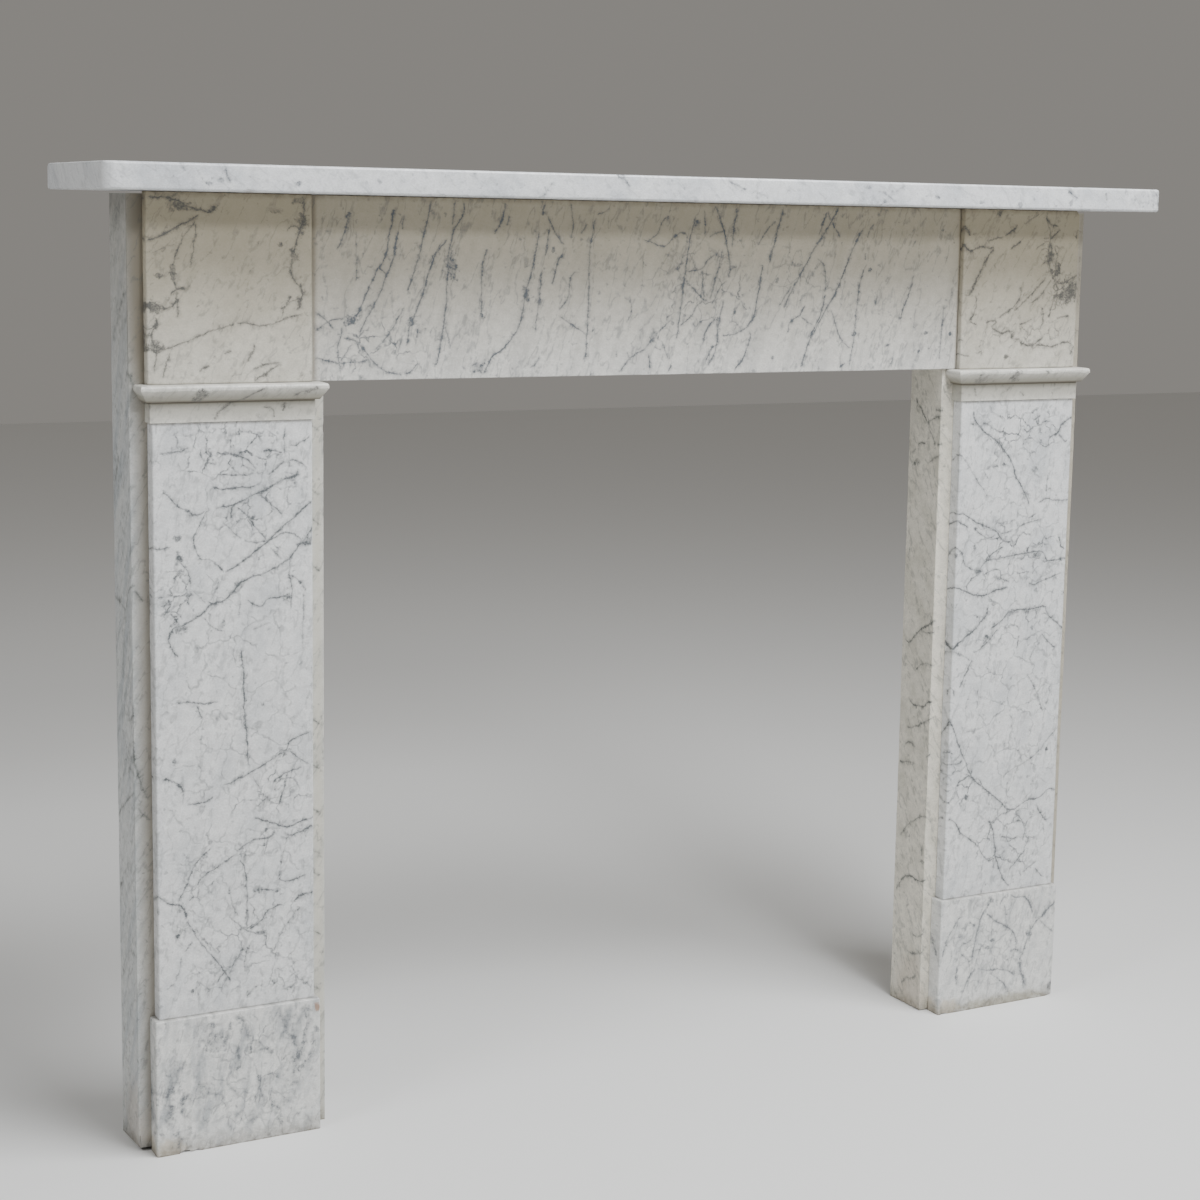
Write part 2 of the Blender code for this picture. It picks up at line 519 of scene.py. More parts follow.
@dataclass(frozen=True)
class MarbleFinish:
    """Satin white marble of one stone, with its own veins, flecks, stains and dirt, and some painted
    shade.

    Attributes:
        name: Material name.
        face: How the pattern lies on the stone.
        origin: Place of the pattern's zero along X, in millimetres.
        pale: Colour of the clean ground, linear.
        shade: Colour of the ground's soft clouds, linear.
        ink: Colour of the veins, linear.
        clouds: Strength of the clouds, 0 to 1.
        cloud_size: Size of the clouds along and across their grain, in millimetres.
        cloud_turn: Angle of the clouds' grain from level, in degrees.
        hairs: Strength of the fine scattered hair veins, 0 to 1.
        flecks: Strength of the small scattered flecks, 0 to 1.
        roughness: Mean roughness.
        wander: How far the veins stray from the courses laid for them, in millimetres.
        seed: Shifts the pattern, so that no two stones match.
        veins: Veins laid on the stone.
        spots: Flecks and knots.
        nets: Patches of fine crossing veins.
        bands: Straight bands of discoloured stone, dark joints and painted shade.
        stains: Discoloured patches, and patches of painted shade.
        grime: Dirt along joints and the floor.
    """

    name: str
    face: Face = Face.FRONT
    origin: float = 0.0
    pale: Colour = (0.745, 0.750, 0.750)
    shade: Colour = (0.40, 0.428, 0.455)
    ink: Colour = (0.105, 0.118, 0.134)
    clouds: float = 0.42
    cloud_size: Pair = (90.0, 45.0)
    cloud_turn: float = 60.0
    hairs: float = 0.42
    flecks: float = 0.55
    roughness: float = 0.36
    wander: float = 6.0
    seed: float = 0.0
    veins: tuple[Vein, ...] = ()
    spots: tuple[Spot, ...] = ()
    nets: tuple[Net, ...] = ()
    bands: tuple[Band, ...] = ()
    stains: tuple[Stain, ...] = ()
    grime: tuple[Grime, ...] = ()

    def material(self, front: float) -> bpy.types.Material:
        """Build the material.

        Args:
            front: Place of the stone's front along Y, in millimetres.

        Returns:
            The finished material.
        """
        material = bpy.data.materials.new(self.name)
        material.use_nodes = True
        graph = ShaderGraph(material.node_tree)
        shader = material.node_tree.nodes["Principled BSDF"]
        flat = self.face_coordinates(graph, front)
        height = graph.split(flat)[1]
        warped = self.wandering(graph, flat)
        uneven = graph.noise(warped, UNEVEN_SIZE, 3.0, 0.65)

        grain = graph.noise(flat, GRAIN_SIZE, 2.0, 0.7)
        colour = self.ground(graph, flat, uneven, grain)
        colour = self.banded(graph, colour, flat)
        colour = self.stained(graph, colour, warped)
        inked = self.inked(graph, warped, uneven, grain)
        colour = graph.blend(inked, colour, self.ink)
        dirt = self.dirt(graph, height, uneven)
        colour = graph.blend(dirt, colour, DIRT_COLOUR)
        graph.feed(shader.inputs["Base Color"], colour)

        polish = graph.ease(
            uneven, *POLISH_STEP, self.roughness - SMOOTHER, self.roughness + ROUGHER
        )
        polish = graph.calc("MULTIPLY_ADD", dirt, DIRT_ROUGHNESS, polish, clamp=True)
        graph.feed(shader.inputs["Roughness"], polish)

        bump = graph.add("ShaderNodeBump")
        bump.inputs["Strength"].default_value = BUMP_STRENGTH
        bump.inputs["Distance"].default_value = BUMP_HEIGHT
        graph.feed(bump.inputs["Height"], graph.noise(flat, BUMP_SIZE, 2.0, 0.6))
        graph.feed(shader.inputs["Normal"], bump.outputs[0])
        return material

    def face_coordinates(self, graph: ShaderGraph, front: float) -> Socket:
        """Return millimetres across and up the stone's face, with the depth third.

        Args:
            graph: The material's nodes.
            front: Place of the stone's front along Y, in millimetres.

        Returns:
            The face coordinates.
        """
        depth = 0.0 if self.face is Face.WRAPPED else -front
        centred = graph.add("ShaderNodeMapping", vector_type="POINT")
        graph.feed(centred.inputs["Vector"], graph.add("ShaderNodeTexCoord").outputs["Object"])
        centred.inputs["Scale"].default_value = (1 / MM,) * 3
        centred.inputs["Location"].default_value = (-self.origin, depth, 0.0)
        x, y, z = graph.split(centred.outputs["Vector"])
        if self.face is Face.WRAPPED:
            return graph.join(graph.calc("SUBTRACT", x, y), z, graph.calc("SUBTRACT", y, front))
        if self.face is Face.LYING:
            rise = graph.calc("SUBTRACT", graph.calc("SUBTRACT", z, front), y)
            along = graph.calc("MULTIPLY_ADD", y, DRIFT_OVER_SLAB, x)
            behind = graph.calc("ADD", z, y)
            return graph.join(along, rise, behind)
        return graph.join(graph.calc("MULTIPLY_ADD", y, DRIFT_INTO_STONE, x), z, y)

    def shifted(self, graph: ShaderGraph, where: Feed, step: Pair) -> Socket:
        """Return coordinates moved on by the seed, so that no two stones match."""
        return graph.vector("ADD", where, (self.seed * step[0], self.seed * step[1], 0.0))

    def wandering(self, graph: ShaderGraph, flat: Feed) -> Socket:
        """Return the coordinates shifted by noise, so that veins wander, with one as the third.

        Args:
            graph: The material's nodes.
            flat: Face coordinates.

        Returns:
            The coordinates that wander.
        """
        moved = self.shifted(graph, flat, WANDER_SHIFT)
        push = graph.noise(moved, WANDER_SIZE, 4.0, 0.74, "Color")
        half = graph.vector("SUBTRACT", flat, (self.wander / 2,) * 3)
        x, y, _ = graph.split(graph.vector("MULTIPLY_ADD", push, (self.wander,) * 3, half))
        return graph.join(x, y, 1.0)

    def ground(
        self, graph: ShaderGraph, flat: Feed, uneven: Feed, grain: Feed
    ) -> Socket:
        """Return the marble's ground colour, with soft clouds and crystal grain.

        Args:
            graph: The material's nodes.
            flat: Face coordinates.
            uneven: The stone's unevenness.
            grain: The crystal grain.

        Returns:
            The colour.
        """
        turn = math.radians(self.cloud_turn)
        along, across = self.cloud_size
        place = (self.seed * CLOUD_SHIFT[0], self.seed * CLOUD_SHIFT[1])
        cloud = graph.noise(graph.place(flat, place, turn, (along, across)), 1.0, 3.0, 0.6)
        ground = graph.blend(graph.ease(cloud, *CLOUD_STEP, 0.0, self.clouds), self.pale, self.shade)
        crystal = graph.ease(grain, *CRYSTAL_TONE)
        tone = graph.calc("MULTIPLY", crystal, graph.ease(uneven, *UNEVEN_TONE))
        return graph.blend(1.0, ground, graph.join(tone, tone, tone), "MULTIPLY")

    def inked(
        self, graph: ShaderGraph, warped: Feed, uneven: Feed, grain: Feed
    ) -> Socket:
        """Return how dark the veins, flecks and nets are at each place, 0 to 1.

        Args:
            graph: The material's nodes.
            warped: Face coordinates that wander.
            uneven: The stone's unevenness.
            grain: The crystal grain.

        Returns:
            The darkness.
        """
        total: Feed = 0.0
        for one in self.veins:
            total = self.over(graph, self.along(graph, warped, one), total)
        for one in self.spots:
            total = self.over(graph, self.fleck(graph, warped, one), total)
        total = self.feathered(graph, warped, total)
        broken = graph.ease(uneven, *BROKEN_INK)
        total = graph.calc("MULTIPLY", total, broken)
        for one in self.nets:
            total = self.over(graph, self.meshes(graph, warped, one), total)
        total = graph.calc("ADD", total, self.scattered(graph, warped, uneven))
        return graph.calc("MULTIPLY", total, graph.ease(grain, *GRAINY_INK), clamp=True)

    @staticmethod
    def over(graph: ShaderGraph, value: Feed, total: Feed) -> Feed:
        """Return the darker of a new mark and those already there."""
        return value if total == 0.0 else graph.calc("MAXIMUM", value, total)

    @staticmethod
    def feathered(graph: ShaderGraph, warped: Feed, total: Feed) -> Feed:
        """Draw the halos of the marks in and out unevenly, so that they look feathered.

        Args:
            graph: The material's nodes.
            warped: Face coordinates that wander.
            total: The darkness of the marks.

        Returns:
            The darkness with feathered halos.
        """
        reach = graph.ease(graph.noise(warped, FEATHER_SIZE, 3.0, 0.75), *FEATHER_REACH)
        rest = graph.calc("MULTIPLY_ADD", total, graph.calc("SUBTRACT", 1.0, reach), reach)
        return graph.calc("DIVIDE", total, rest, clamp=True)

    def along(self, graph: ShaderGraph, warped: Feed, one: Vein) -> Socket:
        """Return the darkness of one vein: a dark core that fades into a soft halo.

        Args:
            graph: The material's nodes.
            warped: Face coordinates that wander.
            one: The vein.

        Returns:
            The darkness.
        """
        total: Feed = 0.0
        runs = onward_runs(one.points)
        for number, run in enumerate(runs):
            start = Vector(run[0])
            chord = Vector(run[-1]) - start
            ahead = chord.normalized()
            across = Vector((-ahead.y, ahead.x)) / one.width
            course = []
            for point in run:
                step = Vector(point) - start
                course.append((step.dot(ahead), step.dot(across)))
            end = chord.length
            fade = min(VEIN_FADE, end * VEIN_FADE_SHARE)
            dark = [(0.0, 0.0), (fade, one.strength), (end - fade, one.strength), (end, 0.0)]
            if number > 0:
                dark[:2] = [(-one.width, 0.0), (0.0, one.strength)]
            if number < len(runs) - 1:
                dark[-2:] = [(end, one.strength), (end + one.width, 0.0)]
            length = graph.vector("DOT_PRODUCT", warped, (*ahead, -ahead.dot(start)))
            aside = graph.vector("DOT_PRODUCT", warped, (*across, -across.dot(start)))
            away = graph.calc("SUBTRACT", aside, graph.curve(length, course))
            spread = graph.calc("MULTIPLY_ADD", away, away, 1.0)
            part = graph.calc("DIVIDE", graph.curve(length, dark), spread)
            total = self.over(graph, part, total)
        return total

    def fleck(self, graph: ShaderGraph, warped: Feed, one: Spot) -> Socket:
        """Return the darkness of one fleck or knot.

        Args:
            graph: The material's nodes.
            warped: Face coordinates that wander.
            one: The fleck or knot.

        Returns:
            The darkness.
        """
        local = graph.place(warped, one.centre, math.radians(one.turn), one.radii)
        ragged = graph.noise(warped, RAGGED_SIZE, 2.0, 0.7)
        reach = graph.calc("MULTIPLY_ADD", ragged, FLECK_RAGGED, graph.vector("LENGTH", local))
        return graph.ease(reach, *FLECK_STEP, 0.0, one.strength)

    def patch(
        self, graph: ShaderGraph, warped: Feed, centre: Pair, radii: Pair, turn: float = 0.0
    ) -> Socket:
        """Return a soft ragged ellipse, 1 in its middle and 0 outside.

        Args:
            graph: The material's nodes.
            warped: Face coordinates that wander.
            centre: Its middle, in millimetres.
            radii: Half length and half breadth, in millimetres.
            turn: Angle of its length from level, in degrees.

        Returns:
            How far the ellipse covers each place.
        """
        local = graph.place(warped, centre, math.radians(turn), radii)
        ragged = graph.noise(warped, 0.35 * min(radii) + 4.0, 2.0, 0.6)
        reach = graph.calc("MULTIPLY_ADD", ragged, PATCH_RAGGED, graph.vector("LENGTH", local))
        return graph.ease(reach, *PATCH_STEP)

    def meshes(self, graph: ShaderGraph, warped: Feed, one: Net) -> Socket:
        """Return the darkness of one patch of crossing veins, broken here and there.

        Args:
            graph: The material's nodes.
            warped: Face coordinates that wander.
            one: The patch.

        Returns:
            The darkness.
        """
        shifted = self.shifted(graph, warped, NET_SHIFT)
        push = graph.noise(shifted, one.cell, 3.0, 0.66, "Color")
        bent = graph.vector("MULTIPLY_ADD", push, (one.cell * NET_STRAY,) * 3, shifted)
        cells = graph.add("ShaderNodeTexVoronoi", feature="DISTANCE_TO_EDGE", voronoi_dimensions="2D")
        graph.feed(cells.inputs["Vector"], bent)
        cells.inputs["Scale"].default_value = 1.0 / one.cell
        lines = graph.ease(cells.outputs["Distance"], NET_LINE / one.cell, 0.0, 0.0, one.strength)
        broken = graph.ease(graph.noise(shifted, BREAK_SIZE, 3.0, 0.62), *NET_BREAKS)
        lines = graph.calc("MULTIPLY", lines, broken)
        return graph.calc("MULTIPLY", lines, self.patch(graph, warped, one.centre, one.radii, one.turn))

    def scattered(self, graph: ShaderGraph, warped: Feed, uneven: Feed) -> Socket:
        """Return the faint hair veins and flecks found all over the stone.

        Args:
            graph: The material's nodes.
            warped: Face coordinates that wander.
            uneven: The stone's unevenness.

        Returns:
            The darkness.
        """
        shifted = self.shifted(graph, warped, SCATTER_SHIFT)
        turned = graph.place(shifted, (0.0, 0.0), math.radians(self.cloud_turn), HAIR_SIZE)
        bands = graph.noise(turned, 1.0, 3.0, 0.55)
        crest = graph.calc("ABSOLUTE", graph.calc("SUBTRACT", bands, 0.5))
        hair = graph.ease(crest, HAIR_WIDTH, 0.0, 0.0, self.hairs)
        hair = graph.calc("MULTIPLY", hair, graph.ease(uneven, *HAIR_BREAKS))
        fleck = graph.ease(graph.noise(shifted, FLECK_SIZE, 2.0, 0.6), *SCATTER_STEP, 0.0, self.flecks)
        return graph.calc("ADD", hair, fleck)

    def banded(self, graph: ShaderGraph, colour: Feed, flat: Feed) -> Feed:
        """Return the colour with every band laid over it.

        Args:
            graph: The material's nodes.
            colour: The colour so far.
            flat: Face coordinates.

        Returns:
            The new colour.
        """
        parts = graph.split(flat)
        for one in self.bands:
            away = graph.calc("ABSOLUTE", graph.calc("SUBTRACT", parts[one.run.value], one.level))
            cover = graph.ease(away, one.spread, 0.0, 0.0, one.strength)
            cover = graph.calc("MULTIPLY", cover, graph.ease(parts[2], one.reach + BAND_FADE, one.reach))
            if one.fade is not None:
                cover = graph.calc("MULTIPLY", cover, graph.ease(parts[1 - one.run.value], *one.fade))
            colour = graph.blend(cover, colour, one.colour)
        return colour

    def stained(self, graph: ShaderGraph, colour: Feed, warped: Feed) -> Feed:
        """Return the colour with every stain laid over it.

        Args:
            graph: The material's nodes.
            colour: The colour so far.
            warped: Face coordinates that wander.

        Returns:
            The new colour.
        """
        for one in self.stains:
            reach = self.patch(graph, warped, one.centre, one.radii)
            cover = graph.calc("MULTIPLY", reach, one.strength)
            colour = graph.blend(cover, colour, one.colour)
        return colour

    def dirt(self, graph: ShaderGraph, height: Feed, uneven: Feed) -> Feed:
        """Return how far dirt covers the stone near its joints and the floor.

        Args:
            graph: The material's nodes.
            height: Height up the stone.
            uneven: The stone's unevenness.

        Returns:
            The cover, 0 to 1.
        """
        total: Feed = 0.0
        for one in self.grime:
            away = graph.calc("ABSOLUTE", graph.calc("SUBTRACT", height, one.level))
            total = self.over(graph, graph.ease(away, one.spread, 0.0, 0.0, one.strength), total)
        return graph.calc("MULTIPLY", total, graph.ease(uneven, *DIRT_BREAKS), clamp=True)


@dataclass
class Stone:
    """A block of marble being worked with the mason's few cuts.

    Attributes:
        name: Name of the finished piece.
        low: Lowest corner of the block, in metres.
        high: Highest corner of the block, in metres.
        pitch: Distance between the places where a long edge can be worn, in metres.
        mesh: The stone as it is being cut.
    """

    name: str
    low: Vector
    high: Vector
    pitch: float = 0.014
    mesh: bmesh.types.BMesh = field(init=False)

    def __post_init__(self) -> None:
        """Start from a sawn block."""
        self.mesh = bmesh.new()
        bmesh.ops.create_cube(self.mesh, size=1.0)
        bmesh.ops.scale(self.mesh, vec=self.high - self.low, verts=self.mesh.verts)
        bmesh.ops.translate(self.mesh, vec=(self.low + self.high) / 2, verts=self.mesh.verts)

    def round_edges(self, edges: Edges, radius: float, steps: int = 3) -> None:
        """Round the given edges.

        Args:
            edges: The edges.
            radius: Radius in metres.
            steps: Number of facets across the rounding.
        """
        bmesh.ops.bevel(
            self.mesh,
            geom=edges,
            offset=radius,
            offset_type="OFFSET",
            affect="EDGES",
            segments=steps,
            profile=0.5,
            material=-1,
            clamp_overlap=True,
        )

    def uprights(self, front_only: bool = True) -> Edges:
        """Return the upright edges, by default those at the front only.

        Args:
            front_only: Whether the edges at the back are left out.

        Returns:
            The edges.
        """
        found = []
        for edge in self.mesh.edges:
            first, second = (vert.co for vert in edge.verts)
            level = (first + second) / 2
            standing = abs(first.z - second.z) > 0.5 * (self.high.z - self.low.z)
            if standing and (not front_only or level.y < (self.low.y + self.high.y) / 2):
                found.append(edge)
        return found

    def rim(self, level: float, front_only: bool = False) -> Edges:
        """Return the edges that lie at a level, in metres, with or without the back one.

        Args:
            level: Height in metres.
            front_only: Whether the edge at the back is left out.

        Returns:
            The edges.
        """
        found = []
        for edge in self.mesh.edges:
            first, second = (vert.co for vert in edge.verts)
            lying = abs(first.z - level) < NEAR and abs(second.z - level) < NEAR
            behind = first.y > self.high.y - NEAR and second.y > self.high.y - NEAR
            if lying and len(edge.link_faces) == 2 and not (front_only and behind):
                if edge.calc_face_angle(0.0) > RIM_TURN:
                    found.append(edge)
        return found

    def saw(self, place: Vector, normal: Vector) -> None:
        """Saw off all that lies beyond a plane and close the cut.

        Args:
            place: A point of the plane.
            normal: Which way the plane faces.
        """
        everything = [*self.mesh.verts, *self.mesh.edges, *self.mesh.faces]
        cut = bmesh.ops.bisect_plane(
            self.mesh, geom=everything, plane_co=place, plane_no=normal, clear_outer=True, dist=NEAR
        )
        rim = [one for one in cut["geom_cut"] if isinstance(one, bmesh.types.BMEdge)]
        bmesh.ops.edgeloop_fill(self.mesh, edges=rim)

    def score(self, axis: Axis, places: list[float]) -> None:
        """Lay a line of points right round the stone at each place along an axis.

        Args:
            axis: The axis.
            places: The places, in metres.
        """
        normal = Vector((0.0, 0.0, 0.0))
        normal[axis] = 1.0
        for place in places:
            where = Vector((0.0, 0.0, 0.0))
            where[axis] = place
            everything = [*self.mesh.verts, *self.mesh.edges, *self.mesh.faces]
            bmesh.ops.bisect_plane(
                self.mesh, geom=everything, plane_co=where, plane_no=normal, dist=NEAR
            )

    def wear(self, axis: Axis, reach: float, seed: float) -> None:
        """Soften the long arrises unevenly, as handling and cleaning do.

        Args:
            axis: The stone's long direction.
            reach: The deepest wear, in metres.
            seed: Shifts the wear, so that no two stones match.
        """
        length = self.high[axis] - self.low[axis]
        count = max(2, int(length / self.pitch))
        self.score(axis, [self.low[axis] + length * step / count for step in range(1, count)])
        self.mesh.normal_update()
        for vert in self.mesh.verts:
            if vert.calc_shell_factor() < NEARLY_FLAT:
                continue
            worn = noise.noise(vert.co * WEAR_NOISE + Vector((seed, seed, seed)))
            vert.co -= vert.normal * reach * max(0.0, worn + 0.1)

    def nick(self, place: Vector, reach: float, depth: float) -> None:
        """Knock a shallow chip out of an arris.

        Args:
            place: Middle of the chip.
            reach: How far it goes along the arris each way, in metres.
            depth: Its depth, in metres.
        """
        for axis in Axis:
            if self.low[axis] + CORNER < place[axis] < self.high[axis] - CORNER:
                inside = [place[axis] + reach * step for step in CHIP_STEPS]
                self.score(axis, [one for one in inside if self.low[axis] < one < self.high[axis]])
        self.mesh.normal_update()
        for vert in self.mesh.verts:
            near = 1.0 - (vert.co - place).length / reach
            if near > 0.0:
                uneven = 0.75 + 0.5 * noise.noise(vert.co * CHIP_NOISE)
                vert.co -= vert.normal * min(depth, depth * 1.8 * near) * uneven

    def finish(self, finish: MarbleFinish) -> bpy.types.Object:
        """Polish the stone and stand it in the scene in its solid's place.

        Args:
            finish: The marble's look.

        Returns:
            The finished piece.
        """
        bmesh.ops.remove_doubles(self.mesh, verts=self.mesh.verts, dist=NEAR)
        for vert in self.mesh.verts:
            for axis in Axis:
                vert.co[axis] = min(self.high[axis], max(self.low[axis], vert.co[axis]))
        bmesh.ops.recalc_face_normals(self.mesh, faces=self.mesh.faces)
        for face in self.mesh.faces:
            face.smooth = True
        for edge in self.mesh.edges:
            edge.smooth = edge.calc_face_angle(0.0) < CREASE
        data = bpy.data.meshes.new(f"{self.name}_marble")
        self.mesh.to_mesh(data)
        self.mesh.free()
        data.materials.append(finish.material(self.low.y / MM))
        piece = bpy.data.objects.new(f"{self.name}_marble", data)
        bpy.context.scene.collection.objects.link(piece)
        shading = piece.modifiers.new("Even faces", "WEIGHTED_NORMAL")
        shading.keep_sharp = True
        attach(piece, "root")
        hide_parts(self.name)
        log.info("%s: %d faces", piece.name, len(data.polygons))
        return piece


def block_for(name: str, pitch: float = 0.014) -> Stone:
    """Return a sawn block of the size of a stone's solid."""
    low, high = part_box(name)
    return Stone(name, Vector(low), Vector(high), pitch)


@dataclass
class Shelf:
    """The mantelshelf: one slab with rounded front corners and a pencil-round edge.

    Attributes:
        corner: Radius of the front corners in plan, in metres.
        edge: Radius of the upper and lower edges, in metres.
        finish: The marble's look.
    """

    finish: MarbleFinish
    corner: float = 0.012
    edge: float = 0.003

    def build(self) -> bpy.types.Object:
        """Cut the slab and return it.

        Returns:
            The finished piece.
        """
        stone = block_for("shelf")
        stone.round_edges(stone.uprights(), self.corner, steps=6)
        stone.round_edges([*stone.rim(stone.low.z), *stone.rim(stone.high.z)], self.edge)
        stone.wear(Axis.ACROSS, reach=0.0007, seed=4.0)
        front = stone.low.y
        stone.nick(Vector((-0.560, front, stone.low.z)), reach=0.007, depth=0.0016)
        stone.nick(Vector((0.235, front, stone.low.z)), reach=0.006, depth=0.0012)
        stone.nick(Vector((0.574, front, stone.high.z)), reach=0.006, depth=0.0010)
        return stone.finish(self.finish)


@dataclass
class Frieze:
    """The flat stone over the opening.

    Attributes:
        arris: Radius of its edges, in metres.
        finish: The marble's look.
    """

    finish: MarbleFinish
    arris: float = 0.001

    def build(self) -> bpy.types.Object:
        """Cut the stone and return it.

        Returns:
            The finished piece.
        """
        stone = block_for("frieze")
        stone.round_edges(list(stone.mesh.edges), self.arris, steps=2)
        stone.wear(Axis.ACROSS, reach=0.0006, seed=9.0)
        return stone.finish(self.finish)


@dataclass
class Leg:
    """One leg: jamb, plinth, pilaster, capital and block.

    Attributes:
        side: Which leg it is.
        finishes: The marble's look for every stone, by the stone's plain name.
        arris: Radius of the square stones' edges, in metres.
        jamb_arris: Radius of the jamb's edges, in metres.
        plinth_top: Radius of the plinth's upper edge, in metres.
        block_top: Radius of the block's upper edge, in metres.
        nosing: Radius of the capital's nosing, in metres.
        nosing_height: Height of the capital's upright nosing, in metres.
        moulding_height: Height of the capital's moulding, in metres.
        moulding_overhang: How far the moulding stands out from the neck, in metres.
        splay: How far the moulding's underside leans out, in metres.
        clipped: How much the right block's upper outer corner has lost, in metres.
        clip_slope: Which way the broken corner faces.
    """

    side: Side
    finishes: dict[str, MarbleFinish]
    arris: float = 0.002
    jamb_arris: float = 0.0015
    plinth_top: float = 0.005
    block_top: float = 0.0012
    nosing: float = 0.0035
    nosing_height: float = 0.006
    moulding_height: float = 0.019
    moulding_overhang: float = 0.013
    splay: float = 0.0085
    clipped: float = 0.0062
    clip_slope: Place = (0.72, -0.25, 0.65)

    def build(self) -> None:
        """Cut the leg's five stones."""
        self.jamb()
        self.plinth()
        self.pilaster()
        self.capital()
        self.block()

    def start(self, word: str, pitch: float = 0.014) -> Stone:
        """Return a sawn block for one of the leg's stones."""
        return block_for(f"{word}_{self.side.word}", pitch)

    def finish(self, stone: Stone, word: str) -> bpy.types.Object:
        """Polish one of the leg's stones."""
        return stone.finish(self.finishes[word])

    def jamb(self) -> bpy.types.Object:
        """Cut the tall stone that stands back from the pilaster.

        Returns:
            The finished piece.
        """
        stone = self.start("jamb", pitch=0.020)
        stone.round_edges(stone.uprights(), self.jamb_arris, steps=2)
        stone.wear(Axis.UP, reach=0.0007, seed=3.0 + self.side.value)
        front, floor = stone.low.y, stone.low.z
        outer = stone.low.x if self.side is Side.LEFT else stone.high.x
        inner = stone.high.x if self.side is Side.LEFT else stone.low.x
        if self.side is Side.LEFT:
            stone.nick(Vector((outer, front, floor)), reach=0.016, depth=0.007)
            stone.nick(Vector((outer, front, 0.655)), reach=0.006, depth=0.0012)
            stone.nick(Vector((inner, front, 0.850)), reach=0.006, depth=0.0010)
        else:
            stone.nick(Vector((outer, front, floor)), reach=0.012, depth=0.005)
            stone.nick(Vector((inner, front, floor)), reach=0.009, depth=0.003)
            stone.nick(Vector((inner, front, 0.445)), reach=0.006, depth=0.0014)
        return self.finish(stone, "jamb")

    def plinth(self) -> bpy.types.Object:
        """Cut the plinth, with a rounded upper edge and chips along the floor.

        Returns:
            The finished piece.
        """
        stone = self.start("plinth", pitch=0.012)
        stone.round_edges(stone.uprights(), self.arris)
        stone.round_edges(stone.rim(stone.high.z, front_only=True), self.plinth_top, steps=4)
        stone.wear(Axis.ACROSS, reach=0.0008, seed=6.0 + self.side.value)
        middle = (stone.low.x + stone.high.x) / 2
        front, floor = stone.low.y, stone.low.z
        if self.side is Side.LEFT:
            stone.nick(Vector((middle - 0.066, front, floor)), reach=0.008, depth=0.004)
            stone.nick(Vector((middle - 0.053, front, floor)), reach=0.006, depth=0.0028)
        else:
            stone.nick(Vector((stone.high.x, front, floor)), reach=0.008, depth=0.0035)
            stone.nick(Vector((middle - 0.090, front, floor)), reach=0.006, depth=0.002)
        return self.finish(stone, "plinth")

    def pilaster(self) -> bpy.types.Object:
        """Cut the flat pilaster.

        Returns:
            The finished piece.
        """
        stone = self.start("pilaster", pitch=0.016)
        stone.round_edges(stone.uprights(), self.arris)
        stone.wear(Axis.UP, reach=0.0007, seed=12.0 + self.side.value)
        return self.finish(stone, "pilaster")

    def capital(self) -> bpy.types.Object:
        """Cut the capital: a plain neck under a nosed and splayed moulding.

        Returns:
            The finished piece.
        """
        stone = self.start("capital", pitch=0.010)
        foot = stone.low.z
        under = stone.high.z - self.moulding_height
        stone.saw(Vector((0.0, 0.0, under)), Vector((0.0, 0.0, -1.0)))
        stone.score(Axis.UP, [stone.high.z - self.nosing_height])
        middle = (stone.low.x + stone.high.x) / 2
        for vert in stone.mesh.verts:
            if vert.co.z < under + NEAR:
                vert.co.x += self.splay if vert.co.x < middle else -self.splay
                if vert.co.y < stone.high.y - NEAR:
                    vert.co.y += self.splay
        stone.round_edges(stone.rim(stone.high.z, front_only=True), self.nosing, steps=5)
        neck_low = stone.low.x + self.moulding_overhang
        neck_high = stone.high.x - self.moulding_overhang
        neck_front = stone.low.y + self.moulding_overhang
        stone.score(Axis.ACROSS, [neck_low, neck_high])
        stone.score(Axis.BACK, [neck_front])
        neck = []
        for face in stone.mesh.faces:
            spot = face.calc_center_median()
            if spot.z < under + NEAR and neck_low < spot.x < neck_high and spot.y > neck_front:
                neck.append(face)
        drawn = bmesh.ops.extrude_face_region(stone.mesh, geom=neck)["geom"]
        bmesh.ops.delete(stone.mesh, geom=neck, context="FACES")
        points = [one for one in drawn if isinstance(one, bmesh.types.BMVert)]
        bmesh.ops.translate(stone.mesh, vec=(0.0, 0.0, foot - under), verts=points)
        stone.wear(Axis.ACROSS, reach=0.0003, seed=20.0 + self.side.value)
        return self.finish(stone, "capital")

    def block(self) -> bpy.types.Object:
        """Cut the plain block beside the frieze.

        Returns:
            The finished piece.
        """
        stone = self.start("block", pitch=0.012)
        stone.round_edges(stone.uprights(), self.arris)
        stone.round_edges(stone.rim(stone.high.z, front_only=True), self.block_top, steps=2)
        stone.wear(Axis.UP, reach=0.0007, seed=15.0 + self.side.value)
        if self.side is Side.RIGHT:
            corner = Vector((stone.high.x, stone.low.y, stone.high.z))
            cut = corner - Vector((self.clipped, 0.0, 0.0))
            stone.saw(cut, Vector(self.clip_slope).normalized())
        return self.finish(stone, "block")


